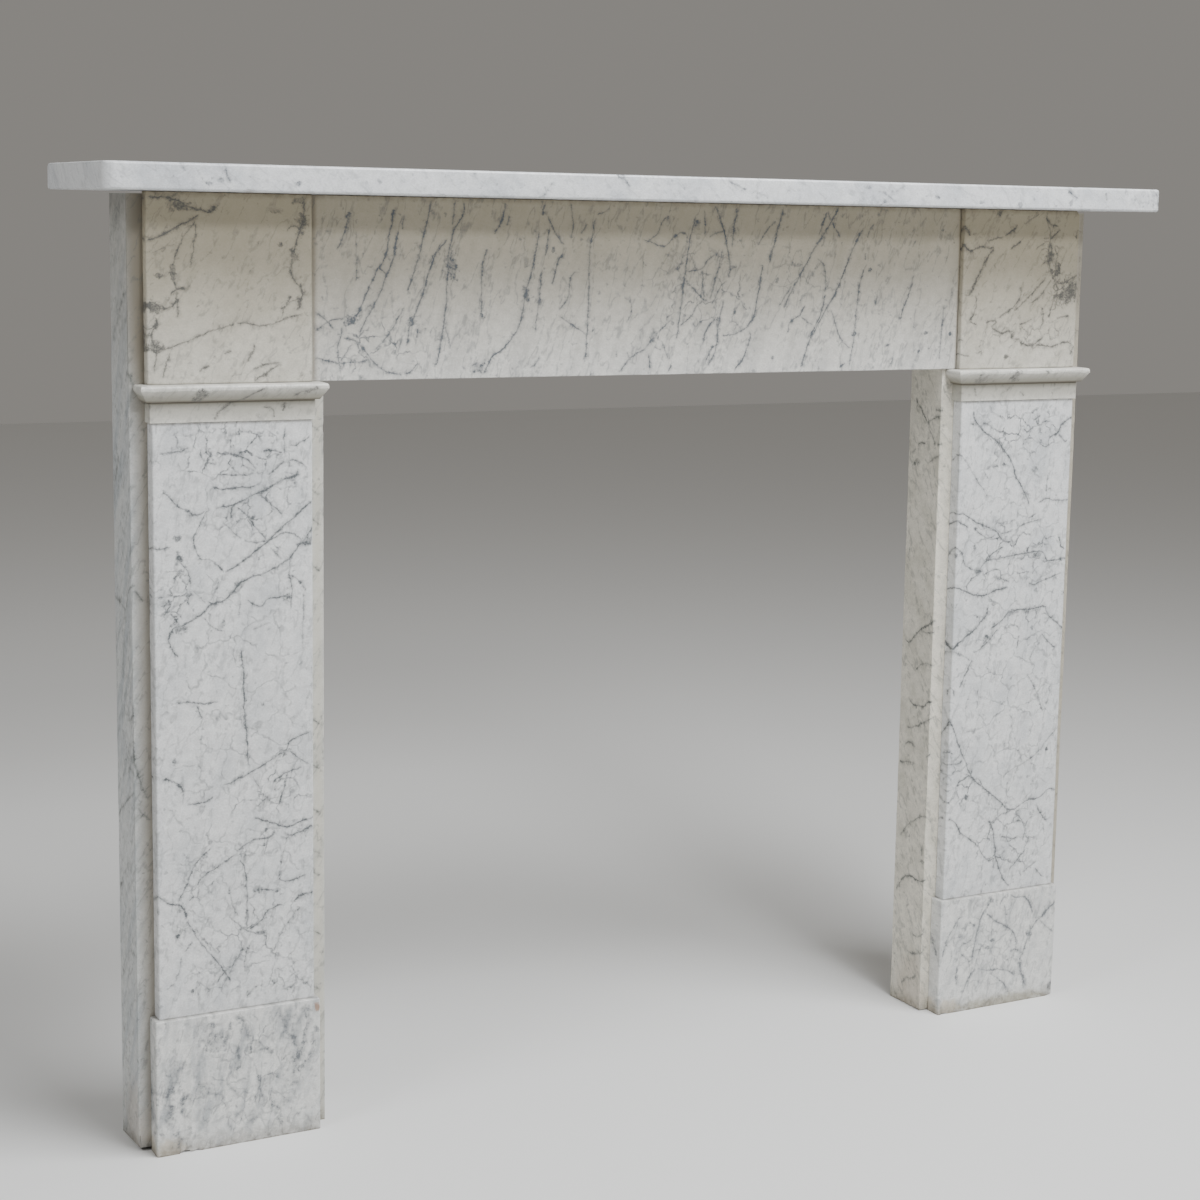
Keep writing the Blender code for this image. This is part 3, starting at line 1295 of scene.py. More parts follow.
@dataclass(frozen=True)
class Lamp:
    """A soft rectangular lamp.

    Attributes:
        name: The lamp's name.
        place: Where it hangs, in metres.
        target: Where it points, in metres.
        size: Width and height, in metres.
        power: Power in watts.
        colour: Colour of its light.
    """

    name: str
    place: Place
    target: Place
    size: Pair
    power: float
    colour: Colour

    def hang(self) -> None:
        """Hang the lamp and point it at its target."""
        data = bpy.data.lights.new(self.name, "AREA")
        data.shape = "RECTANGLE"
        data.size, data.size_y = self.size
        data.energy = self.power
        data.color = self.colour
        lamp = bpy.data.objects.new(self.name, data)
        lamp.location = self.place
        aim = Vector(self.target) - Vector(self.place)
        lamp.rotation_euler = aim.to_track_quat("-Z", "Y").to_euler()
        bpy.context.scene.collection.objects.link(lamp)


@dataclass
class Studio:
    """Plain pale floor, soft light and the camera at the photograph's viewing angle.

    Attributes:
        viewpoint: The camera's place, in metres.
        aim: The camera's turn, in degrees.
        lens: Focal length, in millimetres.
        shift: Lens shift across and up.
        film: Width of the film, in millimetres.
        closest: The nearest that the camera sees, in metres.
        floor_reach: How far the floor goes from the middle, in metres.
        floor_colour: Colour of the floor, linear.
        floor_roughness: Its roughness.
        air_colour: Colour of the light from all around, linear.
        air_strength: Its strength.
        lamps: The room's lamps.
    """

    viewpoint: Place = (-1.3361, -2.5123, 1.1022)
    aim: Place = (81.8915, -1.0461, -28.0343)
    lens: float = 67.22
    shift: Pair = (-0.0419, -0.0540)
    film: float = 36.0
    closest: float = 0.05
    floor_reach: float = 9.0
    floor_colour: Colour = (0.80, 0.80, 0.79)
    floor_roughness: float = 0.75
    air_colour: Colour = (1.0, 0.955, 0.885)
    air_strength: float = 0.25
    lamps: tuple[Lamp, ...] = (
        Lamp("Front light", (0.3, -3.4, 2.62), (0.0, 0.0, 0.9), (0.9, 0.4), 46.0, (0.96, 0.98, 1.0)),
        Lamp("High light", (0.70, -1.15, 2.95), (0.0, -0.1, 0.5), (1.7, 1.2), 118.0, (0.97, 0.985, 1.0)),
        Lamp("Side light", (-2.4, -0.7, 2.15), (-0.6, 0.0, 0.9), (1.0, 1.0), 21.0, (0.95, 0.975, 1.0)),
    )

    def build(self) -> None:
        """Set up the floor, the light and the camera."""
        self.floor()
        self.air()
        for lamp in self.lamps:
            lamp.hang()
        self.camera()

    def floor(self) -> None:
        """Lay the plain pale floor."""
        mesh = bmesh.new()
        bmesh.ops.create_grid(mesh, x_segments=1, y_segments=1, size=self.floor_reach)
        data = bpy.data.meshes.new("Floor")
        mesh.to_mesh(data)
        mesh.free()
        floor = bpy.data.objects.new("Floor", data)
        material = bpy.data.materials.new("Pale floor")
        material.use_nodes = True
        shader = material.node_tree.nodes["Principled BSDF"]
        shader.inputs["Base Color"].default_value = (*self.floor_colour, 1.0)
        shader.inputs["Roughness"].default_value = self.floor_roughness
        data.materials.append(material)
        bpy.context.scene.collection.objects.link(floor)

    def air(self) -> None:
        """Fill the room with dim, slightly warm light."""
        world = bpy.data.worlds.new("Room")
        world.use_nodes = True
        sky = world.node_tree.nodes["Background"]
        sky.inputs["Color"].default_value = (*self.air_colour, 1.0)
        sky.inputs["Strength"].default_value = self.air_strength
        bpy.context.scene.world = world

    def camera(self) -> None:
        """Stand the camera where the photograph was taken."""
        data = bpy.data.cameras.new("Camera")
        data.lens = self.lens
        data.sensor_width = self.film
        data.shift_x, data.shift_y = self.shift
        data.clip_start = self.closest
        camera = bpy.data.objects.new("Camera", data)
        camera.location = self.viewpoint
        camera.rotation_euler = Euler([math.radians(angle) for angle in self.aim])
        bpy.context.scene.collection.objects.link(camera)
        bpy.context.scene.camera = camera


def veins(width: float, strength: float, *courses: tuple[Pair, ...]) -> tuple[Vein, ...]:
    """Return veins of one kind, one for each course."""
    return tuple(Vein(width, strength, course) for course in courses)


LEFT_PILASTER_VEINS = (
    *veins(
        1.3, 1.0,
        (
            (-80, 614), (-71, 627), (-60, 631), (-40, 641), (-29, 652), (-11, 657), (6, 674), (40, 686),
            (60, 697), (81, 719), (96, 737),
        ),
        ((-12, 689), (-4, 691), (20, 707), (39, 722), (60, 739), (79, 754), (96, 769)),
        ((-24, 764), (-2, 766), (22, 776), (32, 780), (60, 793), (81, 799)),
        ((7, 598), (9, 577), (11, 520), (14, 477), (15, 456)),
        ((20, 396), (48, 384), (59, 380), (75, 383), (96, 388)),
        ((1, 358), (20, 368), (41, 370), (47, 378)),
        ((59, 369), (72, 370), (96, 378)),
        ((-96, 315), (-78, 303), (-68, 300), (-60, 282)),
    ),
    *veins(
        1.02, 0.9,
        ((10, 725), (25, 722), (48, 726), (60, 731), (75, 727), (81, 719)),
        ((-31, 762), (-40, 747), (-47, 722), (-41, 706), (-28, 703), (-13, 689)),
        ((-84, 785), (-63, 766), (-51, 759), (-41, 757), (-31, 762)),
        ((-96, 722), (-86, 719), (-74, 721)),
        ((-66, 706), (-54, 689), (-51, 672)),
        ((-76, 646), (-66, 632)),
        ((66, 700), (66, 682), (69, 663), (67, 639)),
        ((13, 654), (32, 647), (39, 654), (65, 656)),
        ((-72, 541), (-47, 539), (-32, 537), (-18, 538)),
        ((-47, 537), (-40, 518)),
        ((-79, 614), (-74, 601), (-66, 591)),
        ((-86, 827), (-66, 829), (-51, 834)),
        ((-38, 834), (-38, 822), (-21, 812)),
        ((-20, 821), (-4, 825), (10, 821), (27, 806)),
        ((-28, 787), (-11, 785), (10, 785), (29, 788)),
        ((-19, 801), (1, 800), (20, 799)),
        ((34, 828), (48, 827), (60, 825)),
        ((62, 815), (48, 804), (39, 799)),
        ((62, 856), (60, 839), (62, 822)),
        ((65, 833), (76, 833), (92, 843)),
        ((65, 816), (79, 813), (89, 802)),
        ((-3, 765), (-3, 749)),
        ((2, 765), (17, 751), (27, 737), (39, 722)),
        ((32, 777), (44, 765), (58, 752)),
        ((-15, 750), (-1, 734), (8, 725)),
        ((41, 715), (50, 706), (58, 699)),
        ((-59, 419), (-41, 420), (-28, 425)),
        ((-17, 437), (10, 446), (34, 458), (59, 471), (67, 483), (92, 492)),
        ((65, 471), (75, 462), (92, 451)),
        ((81, 450), (56, 443), (44, 434)),
        ((63, 449), (59, 432), (50, 404)),
        ((-88, 454), (-78, 449), (-66, 441), (-63, 425)),
        ((1, 356), (-18, 344), (-40, 332), (-49, 322)),
        ((2, 347), (8, 339), (11, 320), (12, 260)),
        ((-72, 302), (-63, 318), (-47, 351), (-29, 365)),
        ((-60, 282), (-51, 263), (-40, 246), (-16, 213), (-7, 199)),
        ((-1, 270), (13, 259), (29, 253)),
        ((13, 259), (25, 265), (41, 282), (58, 284)),
        ((67, 285), (79, 294), (96, 295)),
        ((9, 244), (-4, 222), (-16, 213), (-28, 199)),
        ((-65, 243), (-54, 256)),
        ((48, 319), (63, 313), (86, 318)),
        ((25, 307), (48, 304)),
    ),
    *veins(
        0.95, 0.66,
        ((-51, 670), (-40, 660), (-34, 653)),
        ((-18, 680), (-25, 663), (-32, 654)),
        ((67, 682), (82, 668), (88, 660)),
        ((-59, 566), (-52, 552)),
        ((-5, 819), (1, 806), (13, 797)),
        ((60, 800), (79, 800)),
        ((-40, 639), (-21, 622), (-11, 620)),
        ((6, 655), (5, 632)),
        ((20, 620), (44, 627)),
        ((83, 660), (82, 613), (81, 591)),
        ((39, 418), (24, 408)),
        ((-51, 272), (-31, 240)),
        ((60, 260), (79, 281)),
        ((20, 249), (10, 232), (8, 210)),
        ((25, 191), (17, 185), (10, 176)),
        ((-10, 318), (-9, 306), (1, 275)),
        ((53, 363), (54, 339), (51, 318)),
        ((-67, 239), (-69, 225), (-75, 208)),
        ((-86, 201), (-75, 207)),
        ((47, 208), (56, 202)),
        ((62, 204), (91, 177)),
    ),
)
LEFT_PILASTER_SPOTS = (
    Spot((86, 721), (9, 6), 10, 0.85),
    Spot((-66, 627), (9, 6), -20, 0.85),
    Spot((-67, 730), (4, 4)),
    Spot((-66, 706), (4, 8)),
    Spot((-82, 656), (8, 4), 10, 0.55),
    Spot((65, 656), (4, 4)),
    Spot((59, 471), (6, 5)),
    Spot((-73, 472), (2.5, 4)),
    Spot((29, 253), (6, 4)),
    Spot((25, 307), (5, 5), 0, 0.6),
    Spot((48, 304), (3.5, 3.5), 0, 0.6),
    Spot((-31, 371), (3, 3)),
    Spot((-55, 195), (2.5, 2.5)),
    Spot((-71, 264), (2.5, 2.5)),
    Spot((44, 193), (2.5, 2.5)),
    Spot((83, 184), (2.5, 2.5)),
)
LEFT_PILASTER_NETS = (
    Net((0, 520), (115, 380), 46.0, 0.46),
    Net((-5, 826), (92, 42), 22.0, 0.85),
    Net((30, 760), (70, 34), 23.0, 0.78, 25.0),
    Net((-72, 668), (26, 36), 15.0, 0.9),
    Net((55, 430), (45, 45), 22.0, 0.7),
    Net((20, 250), (80, 75), 27.0, 0.65),
    Net((-45, 330), (30, 45), 15.0, 0.5),
    Net((30, 365), (60, 24), 14.0, 0.6, 15.0),
    Net((70, 195), (35, 26), 14.0, 0.6),
    Net((-25, 205), (45, 26), 17.0, 0.5),
    Net((-60, 300), (36, 60), 26.0, 0.54),
)
RIGHT_PILASTER_VEINS = (
    *veins(
        1.3, 1.0,
        ((-75, 849), (-72, 837), (-60, 824), (-28, 801), (-13, 785), (6, 749), (20, 729), (26, 714)),
        ((96, 838), (77, 826), (70, 815), (58, 809), (52, 796), (34, 806)),
        ((-96, 708), (-85, 708), (-61, 695), (-35, 685), (-11, 666), (-1, 666)),
        ((-56, 627), (-42, 641), (-21, 643), (10, 647), (32, 649), (53, 647), (63, 635), (96, 637)),
        ((-99, 608), (-87, 604), (-51, 593), (-25, 599), (-4, 601)),
        ((-94, 519), (-82, 531), (-59, 545), (-47, 559), (-37, 566)),
        ((-31, 545), (-11, 558), (-4, 565), (41, 569), (59, 571), (65, 562), (79, 549), (96, 536)),
        (
            (-96, 424), (-90, 413), (-81, 391), (-66, 360), (-49, 332), (-29, 316), (-9, 301), (8, 285),
            (20, 282), (44, 293), (67, 295), (79, 304), (96, 303),
        ),
        ((-24, 271), (-16, 263), (-9, 229), (-6, 213), (7, 184), (20, 169)),
    ),
    *veins(
        1.02, 0.9,
        ((-59, 832), (-47, 829), (-41, 824)),
        ((70, 815), (84, 802), (92, 807)),
        ((40, 831), (58, 831)),
        ((26, 832), (40, 839)),
        ((41, 718), (58, 724), (67, 720), (96, 720)),
        ((25, 697), (39, 703)),
        ((2, 680), (16, 688), (48, 694)),
        ((-20, 678), (-1, 681)),
        ((-96, 700), (-75, 687)),
        ((-68, 690), (-56, 680), (-44, 672), (-25, 677)),
        ((-40, 645), (-28, 654), (-13, 660)),
        ((-96, 664), (-87, 656), (-78, 637), (-56, 627)),
        ((-56, 625), (-74, 609), (-74, 599)),
        ((-49, 622), (-21, 627), (-16, 614), (-1, 609)),
        ((-38, 592), (-30, 583)),
        ((79, 672), (84, 656), (92, 650)),
        ((29, 607), (44, 604), (60, 608), (88, 618)),
        ((35, 618), (44, 627)),
        ((-59, 513), (-46, 519), (-18, 544)),
        ((19, 533), (15, 513)),
        ((56, 532), (82, 508)),
        ((-60, 506), (-69, 489), (-82, 463)),
        ((-99, 471), (-93, 466), (-88, 454)),
        ((-49, 332), (-41, 332), (-33, 318)),
        ((-96, 378), (-87, 372)),
        ((-96, 358), (-78, 359), (-69, 363)),
        ((-79, 329), (-63, 337), (-57, 340)),
        ((-94, 302), (-85, 309), (-78, 321)),
        ((-94, 281), (-84, 278), (-66, 256), (-44, 240), (-21, 214), (-6, 214)),
        ((-16, 263), (-4, 274), (20, 282)),
        ((20, 277), (32, 270), (41, 256), (41, 234)),
        ((60, 288), (67, 275), (77, 262), (89, 264)),
        ((0, 245), (17, 241), (29, 237)),
        ((17, 194), (32, 208), (46, 222)),
        ((40, 187), (60, 199), (67, 203)),
        ((63, 191), (79, 177)),
    ),
    *veins(
        0.95, 0.66,
        ((-99, 791), (-90, 787), (-68, 758), (-44, 729)),
        ((-94, 519), (-63, 503)),
        ((56, 758), (55, 732)),
        ((-1, 329), (10, 338), (51, 356), (77, 379), (96, 398)),
        ((32, 477), (44, 464), (56, 441), (65, 418)),
        ((39, 183), (34, 193)),
        ((-3, 216), (10, 225)),
    ),
)
RIGHT_PILASTER_SPOTS = (
    Spot((-28, 801), (5, 4), -30),
    Spot((20, 729), (6, 6)),
    Spot((33, 765), (6, 5), 0, 0.6),
    Spot((-17, 773), (4, 3)),
    Spot((-35, 772), (4, 3)),
    Spot((-64, 659), (2.5, 6)),
    Spot((-56, 627), (7, 5), 30),
    Spot((44, 644), (9, 5), 10, 0.8),
    Spot((44, 594), (4, 4)),
    Spot((3, 566), (8, 4), 0, 0.8),
    Spot((29, 565), (4, 4)),
    Spot((-38, 533), (5, 3), 0, 0.85),
    Spot((-61, 309), (4, 4), 0, 0.9),
    Spot((40, 541), (3, 3)),
    Spot((75, 364), (2.5, 2.5)),
    Spot((-22, 482), (2.5, 2.5)),
)
RIGHT_PILASTER_NETS = (
    Net((0, 520), (115, 380), 40.0, 0.51),
    Net((10, 822), (88, 42), 20.0, 0.85),
    Net((0, 655), (95, 62), 26.0, 0.78),
    Net((20, 556), (75, 18), 18.0, 0.7),
    Net((-70, 335), (30, 50), 19.0, 0.78),
    Net((10, 245), (85, 62), 27.0, 0.78),
)
LEFT_BLOCK_VEINS = (
    *veins(
        1.45, 1.0,
        ((-97, 1112), (-75, 1113), (-43, 1102), (-27, 1098), (-11, 1107)),
        ((-35, 1095), (-47, 1088), (-71, 1075), (-97, 1065)),
        ((88, 1113), (85, 1087), (76, 1059), (71, 1035), (73, 1025), (85, 1013)),
        ((82, 1020), (84, 1004), (78, 985)),
        ((-94, 995), (-84, 990), (-82, 985)),
        ((24, 921), (41, 926), (60, 928)),
        ((60, 927), (33, 911), (27, 907)),
        ((-72, 1004), (-62, 1011), (-46, 1015)),
        ((-88, 981), (-86, 973), (-95, 966)),
        ((-86, 972), (-91, 960), (-87, 944)),
    ),
    *veins(
        1.0, 0.9,
        ((-39, 1089), (-55, 1067), (-66, 1039), (-63, 1009), (-61, 977)),
        ((-40, 1086), (-42, 1065), (-47, 1037)),
        ((-82, 986), (-67, 995), (-60, 1001)),
        ((-97, 943), (-81, 943), (-59, 950), (-37, 959), (-9, 968)),
        ((5, 973), (47, 971), (57, 975), (85, 983)),
        ((-69, 1104), (-57, 1101), (-43, 1101)),
        ((84, 1078), (73, 1083), (65, 1076)),
        ((71, 1005), (67, 995), (59, 987)),
        ((-39, 918), (-25, 927)),
        ((-37, 959), (5, 973)),
        ((84, 1004), (66, 993), (58, 978)),
        ((27, 951), (26, 943), (18, 928)),
        ((-86, 941), (-90, 917)),
        ((-71, 941), (-76, 925), (-80, 912)),
    ),
    *veins(
        0.95, 0.62,
        ((-92, 1049), (-79, 1057), (-63, 1062)),
        ((-9, 937), (1, 943)),
        ((-2, 912), (13, 916)),
        ((-59, 1119), (-71, 1112)),
    ),
)
LEFT_BLOCK_SPOTS = (
    Spot((-67, 1029), (4, 8)),
    Spot((-84, 1027), (5, 3)),
    Spot((-87, 946), (10, 7), 0, 0.9),
    Spot((-88, 991), (11, 7), -20, 1.0),
    Spot((81, 999), (4, 5)),
    Spot((84, 1086), (6, 12), 0, 0.8),
    Spot((75, 1050), (5, 9), 10, 0.8),
    Spot((-60, 1104), (12, 5), 0, 0.8),
    Spot((84, 1111), (9, 4), 0, 0.6),
    Spot((51, 1100), (10, 3), 0, 0.55),
    Spot((58, 1063), (3, 3)),
)
RIGHT_BLOCK_VEINS = (
    *veins(
        1.5, 1.0,
        ((-9, 1099), (-21, 1089), (-31, 1083)),
        ((-1, 1077), (-12, 1071), (-19, 1066)),
        ((-95, 1097), (-93, 1091), (-87, 1084)),
        ((-99, 1079), (-92, 1067), (-85, 1063), (-75, 1068), (-47, 1068)),
        ((-47, 1068), (-59, 1053), (-73, 1027), (-85, 1005), (-93, 1004)),
        ((-57, 967), (-43, 970), (-37, 970)),
        ((-37, 970), (-48, 961)),
        ((-48, 961), (-31, 954), (-7, 956)),
        ((-7, 956), (-12, 949), (-9, 944)),
        ((-9, 944), (1, 944), (3, 940), (27, 937), (33, 942), (43, 949)),
        ((27, 935), (49, 936), (55, 934), (83, 940), (93, 936)),
        ((95, 935), (89, 920)),
        ((40, 1117), (39, 1110), (45, 1103), (61, 1097)),
        ((61, 1097), (61, 1092), (45, 1078)),
        ((45, 1078), (50, 1069), (46, 1052)),
        ((57, 1053), (59, 1037), (55, 1027)),
        ((59, 1025), (69, 1021), (83, 1025), (99, 1034)),
    ),
    *veins(
        1.05, 0.9,
        ((39, 1118), (47, 1082), (45, 1052), (55, 1028), (66, 1012)),
        ((27, 1115), (17, 1108), (1, 1100)),
        ((-37, 973), (-23, 981), (-9, 991), (-1, 1001), (1, 1017)),
        ((66, 1012), (54, 990), (50, 972)),
        ((13, 992), (34, 1004), (52, 1026)),
        ((-11, 983), (1, 991), (31, 1017), (43, 1029)),
        ((-31, 1083), (-45, 1080), (-59, 1077)),
        ((-74, 1005), (-75, 985), (-84, 970)),
        ((-84, 970), (-71, 965)),
        ((35, 1083), (45, 1082)),
        ((23, 1067), (39, 1077)),
        ((35, 1048), (45, 1051)),
        ((59, 995), (61, 987), (49, 985)),
        ((63, 971), (73, 975), (85, 976)),
        ((33, 989), (40, 981), (40, 967), (35, 955)),
        ((-103, 951), (-93, 942)),
        ((-103, 927), (-81, 921)),
        ((-73, 925), (-61, 930)),
        ((0, 965), (21, 972)),
        ((95, 1095), (91, 1081)),
    ),
)
RIGHT_BLOCK_SPOTS = (
    Spot((-41, 1114), (5, 4)),
    Spot((60, 1040), (7, 11), 0, 1.0),
    Spot((48, 1057), (8, 10), 0, 0.95),
    Spot((84, 1011), (22, 12), 35, 0.95),
    Spot((90, 1004), (10, 7), 30, 0.9),
    Spot((-20, 921), (5, 2.5)),
)
RIGHT_BLOCK_NETS = (
    Net((74, 1010), (34, 24), 8.5, 1.0, 35.0),
    Net((50, 1065), (24, 42), 17.0, 0.7),
    Net((10, 950), (90, 18), 15.0, 0.62),
)
LEFT_PLINTH_VEINS = (
    *veins(
        4.2, 0.62,
        ((-69, 115), (-80, 88), (-86, 78), (-89, 66)),
        ((-59, 73), (-66, 66), (-69, 56), (-74, 47)),
        ((-81, 62), (-84, 50), (-92, 40)),
        ((-75, 30), (-74, 6)),
        ((59, 159), (58, 142), (55, 126)),
        ((61, 128), (69, 116), (71, 98), (66, 70), (64, 58)),
        ((-33, 156), (-35, 138)),
    ),
    *veins(
        2.3, 0.66,
        ((-11, 154), (-14, 138), (-18, 124)),
        ((-7, 160), (3, 152), (13, 122), (13, 108)),
        ((-9, 124), (-2, 116), (-4, 78)),
        ((45, 156), (53, 148), (57, 138)),
        ((86, 160), (85, 138), (82, 122), (70, 88)),
        ((93, 126), (88, 96), (71, 80)),
        ((79, 158), (75, 144), (67, 135)),
        ((21, 112), (33, 112), (41, 102)),
        ((22, 84), (25, 64), (31, 46)),
        ((-16, 76), (-7, 66), (-2, 56)),
        ((-9, 34), (3, 40), (11, 26), (31, 37)),
        ((45, 26), (51, 12)),
        ((-97, 27), (-92, 28)),
    ),
)
LEFT_PLINTH_SPOTS = (
    Spot((-44, 75), (9, 10), 0, 0.55),
    Spot((-29, 130), (13, 12), 40, 0.6),
    Spot((-80, 92), (6, 11), 20, 0.6),
    Spot((57, 138), (5, 12), 0, 0.55),
    Spot((47, 42), (18, 9), 0, 0.32),
    Spot((68, 100), (7, 18), 0, 0.35),
    Spot((95, 126), (4, 5), 0, 0.8),
)
LEFT_PLINTH_NETS = (
    Net((0, 85), (105, 95), 30.0, 0.5, 80.0),
    Net((10, 40), (80, 40), 20.0, 0.42),
)
RIGHT_PLINTH_NETS = (
    Net((-10, 100), (100, 90), 30.0, 0.42, 60.0),
    Net((-45, 110), (40, 55), 17.0, 0.45),
)
RIGHT_PLINTH_VEINS = (
    *veins(
        1.5, 0.95,
        ((100, 140), (79, 124), (61, 109), (54, 97), (43, 69), (38, 60)),
        ((38, 60), (41, 48), (47, 30), (54, 18)),
        ((-23, 138), (-3, 122), (11, 115), (23, 106), (30, 94), (32, 85)),
        ((-18, 154), (-34, 126), (-41, 98), (-46, 68)),
        ((-38, 60), (-49, 48), (-60, 24)),
        ((17, 160), (27, 155), (45, 152), (60, 128)),
    ),
    *veins(
        1.3, 0.75,
        ((70, 118), (81, 107), (100, 93)),
        ((7, 148), (11, 134), (12, 118)),
        ((-38, 60), (-23, 54), (1, 53), (13, 50), (31, 40)),
        ((-15, 50), (1, 40), (21, 20)),
        ((-67, 140), (-85, 115), (-96, 84)),
        ((-67, 86), (-57, 78), (-47, 68)),
        ((-33, 162), (-43, 154), (-47, 142)),
        ((-53, 131), (-41, 120)),
        ((-61, 98), (-49, 102), (-41, 116)),
        ((-69, 66), (-72, 50), (-69, 38)),
        ((-41, 86), (-29, 86)),
        ((-9, 87), (5, 82)),
        ((21, 76), (29, 78), (39, 74)),
    ),
)
RIGHT_PLINTH_SPOTS = (
    Spot((54, 97), (6, 7), 0, 0.7),
    Spot((-16, 158), (4, 6)),
    Spot((-11, 97), (3, 3)),
    Spot((-19, 87), (3, 3)),
    Spot((32, 87), (3, 6), 0, 0.8),
    Spot((96, 14), (4, 8), 0, 0.7),
)
FRIEZE_VEINS = (
    *veins(
        1.2, 1.0,
        (
            (-355, 1104), (-361, 1072), (-369, 1043), (-377, 1032), (-390, 1004), (-403, 980),
            (-416, 974),
        ),
        ((-350, 1080), (-357, 1045), (-377, 998), (-389, 977), (-399, 958)),
        ((-307, 1117), (-315, 1085), (-322, 1056), (-331, 1027), (-339, 1008)),
        ((-286, 1072), (-304, 1049), (-325, 989), (-333, 972), (-339, 945)),
        (
            (-267, 1116), (-266, 1105), (-281, 1076), (-286, 1047), (-287, 1020), (-291, 972),
            (-299, 927), (-304, 918),
        ),
        ((-211, 1116), (-217, 1094), (-227, 1076)),
        ((-206, 1100), (-210, 1087)),
        ((-167, 1080), (-175, 1038), (-184, 1007), (-194, 965), (-209, 945), (-231, 927), (-240, 908)),
        ((-160, 1115), (-163, 1100)),
        ((-134, 1056), (-139, 1049), (-150, 1016)),
        ((50, 1105), (42, 1072), (36, 1036), (32, 1000), (28, 967), (25, 947)),
        ((78, 1116), (90, 1087), (98, 1058), (101, 1043), (98, 1024)),
        ((110, 1116), (105, 1083), (103, 1063)),
        ((93, 1000), (86, 965), (82, 934), (71, 914)),
        ((90, 952), (115, 957), (135, 972), (142, 1000), (150, 1043)),
        ((179, 1117), (170, 1087), (159, 1045)),
        ((262, 1118), (251, 1099), (226, 1063), (204, 1027), (190, 1003), (182, 987)),
        ((299, 1090), (283, 1058), (264, 1014), (241, 976), (226, 950)),
        ((246, 1007), (239, 980), (225, 952), (215, 925), (210, 909)),
        ((326, 1005), (324, 989)),
    ),
    *veins(
        1.05, 0.86,
        ((-452, 986), (-440, 976), (-429, 964)),
        ((-453, 963), (-433, 975), (-416, 977)),
        ((-420, 969), (-420, 959), (-425, 943), (-421, 912)),
        ((-419, 955), (-402, 950), (-383, 929), (-369, 917), (-344, 910)),
        ((-344, 910), (-333, 914), (-326, 923), (-327, 932)),
        ((-453, 932), (-422, 926), (-397, 927), (-383, 929)),
        ((-406, 949), (-417, 934), (-422, 926)),
        ((-342, 990), (-362, 958), (-380, 939)),
        ((-325, 965), (-325, 954)),
        ((-345, 955), (-350, 936)),
        ((-294, 1068), (-312, 1040)),
        ((-377, 1037), (-364, 1030)),
        ((-342, 1100), (-345, 1080)),
        ((-277, 1116), (-282, 1085)),
        ((-290, 969), (-282, 940)),
        ((-235, 1060), (-242, 1038), (-242, 974)),
        ((-153, 1087), (-159, 1052)),
        ((-162, 1036), (-169, 974), (-171, 958)),
        ((-165, 932), (-167, 924), (-179, 916)),
        ((-157, 1100), (-138, 1069), (-132, 1065)),
        ((-124, 1116), (-122, 1085), (-124, 1072)),
        ((-102, 1092), (-111, 1078)),
        ((-111, 1033), (-122, 1029), (-129, 999), (-141, 984)),
        ((-140, 980), (-127, 972), (-101, 955)),
        ((-90, 1100), (-98, 1060), (-99, 1000), (-102, 925)),
        ((-90, 1103), (-79, 1106), (-71, 1112)),
        ((-27, 1073), (-17, 1071), (-7, 1078), (6, 1099), (13, 1103)),
        ((-17, 1071), (4, 1065), (20, 1077), (31, 1082), (42, 1074)),
        ((36, 1023), (46, 1014), (63, 999), (71, 996)),
        ((36, 1034), (61, 1038), (66, 1046), (84, 1058)),
        ((61, 1037), (62, 1014), (64, 1000)),
        ((29, 965), (46, 978), (55, 992), (63, 999)),
        ((62, 1112), (64, 1077)),
        ((98, 1024), (89, 1016), (75, 992)),
        ((69, 1077), (82, 1083), (92, 1083)),
        ((90, 1065), (85, 1043), (72, 997)),
        ((85, 976), (71, 965), (63, 940)),
        ((80, 943), (71, 927), (66, 916)),
        ((132, 960), (133, 949), (125, 927), (110, 909)),
        ((118, 998), (124, 987), (130, 987)),
        ((19, 973), (9, 967), (-2, 957), (-20, 938), (-40, 926), (-56, 908)),
        ((-45, 934), (-39, 923)),
        ((-14, 933), (-12, 912)),
        ((141, 1068), (156, 1089), (168, 1099)),
        ((195, 1018), (174, 989)),
        ((244, 1112), (239, 1098), (232, 1080)),
        ((244, 1112), (254, 1096), (266, 1078)),
        ((231, 1052), (241, 1043), (246, 1007)),
        ((208, 978), (221, 969), (229, 965)),
        ((216, 992), (208, 980), (192, 969), (189, 956)),
        ((319, 1098), (312, 1089), (308, 1078)),
        ((306, 1060), (305, 1050)),
        ((303, 1039), (296, 1005), (292, 954), (285, 909)),
        ((254, 987), (271, 947), (288, 934)),
        ((270, 909), (280, 916)),
        ((384, 1032), (378, 1012), (365, 976)),
        ((435, 992), (433, 974), (429, 918)),
        ((-411, 1096), (-420, 1067), (-427, 1056)),
    ),
    *veins(
        0.95, 0.62,
        ((-402, 1080), (-402, 1020)),
        ((-7, 940), (4, 936)),
        ((4, 947), (15, 923)),
        ((20, 917), (15, 909)),
        ((-42, 1005), (-40, 983), (-47, 969)),
        ((-59, 936), (-59, 927)),
        ((51, 914), (61, 925)),
        ((385, 1078), (379, 1067)),
        ((356, 932), (352, 916), (346, 907)),
        ((339, 935), (350, 940)),
        ((-315, 966), (-316, 958)),
    ),
)
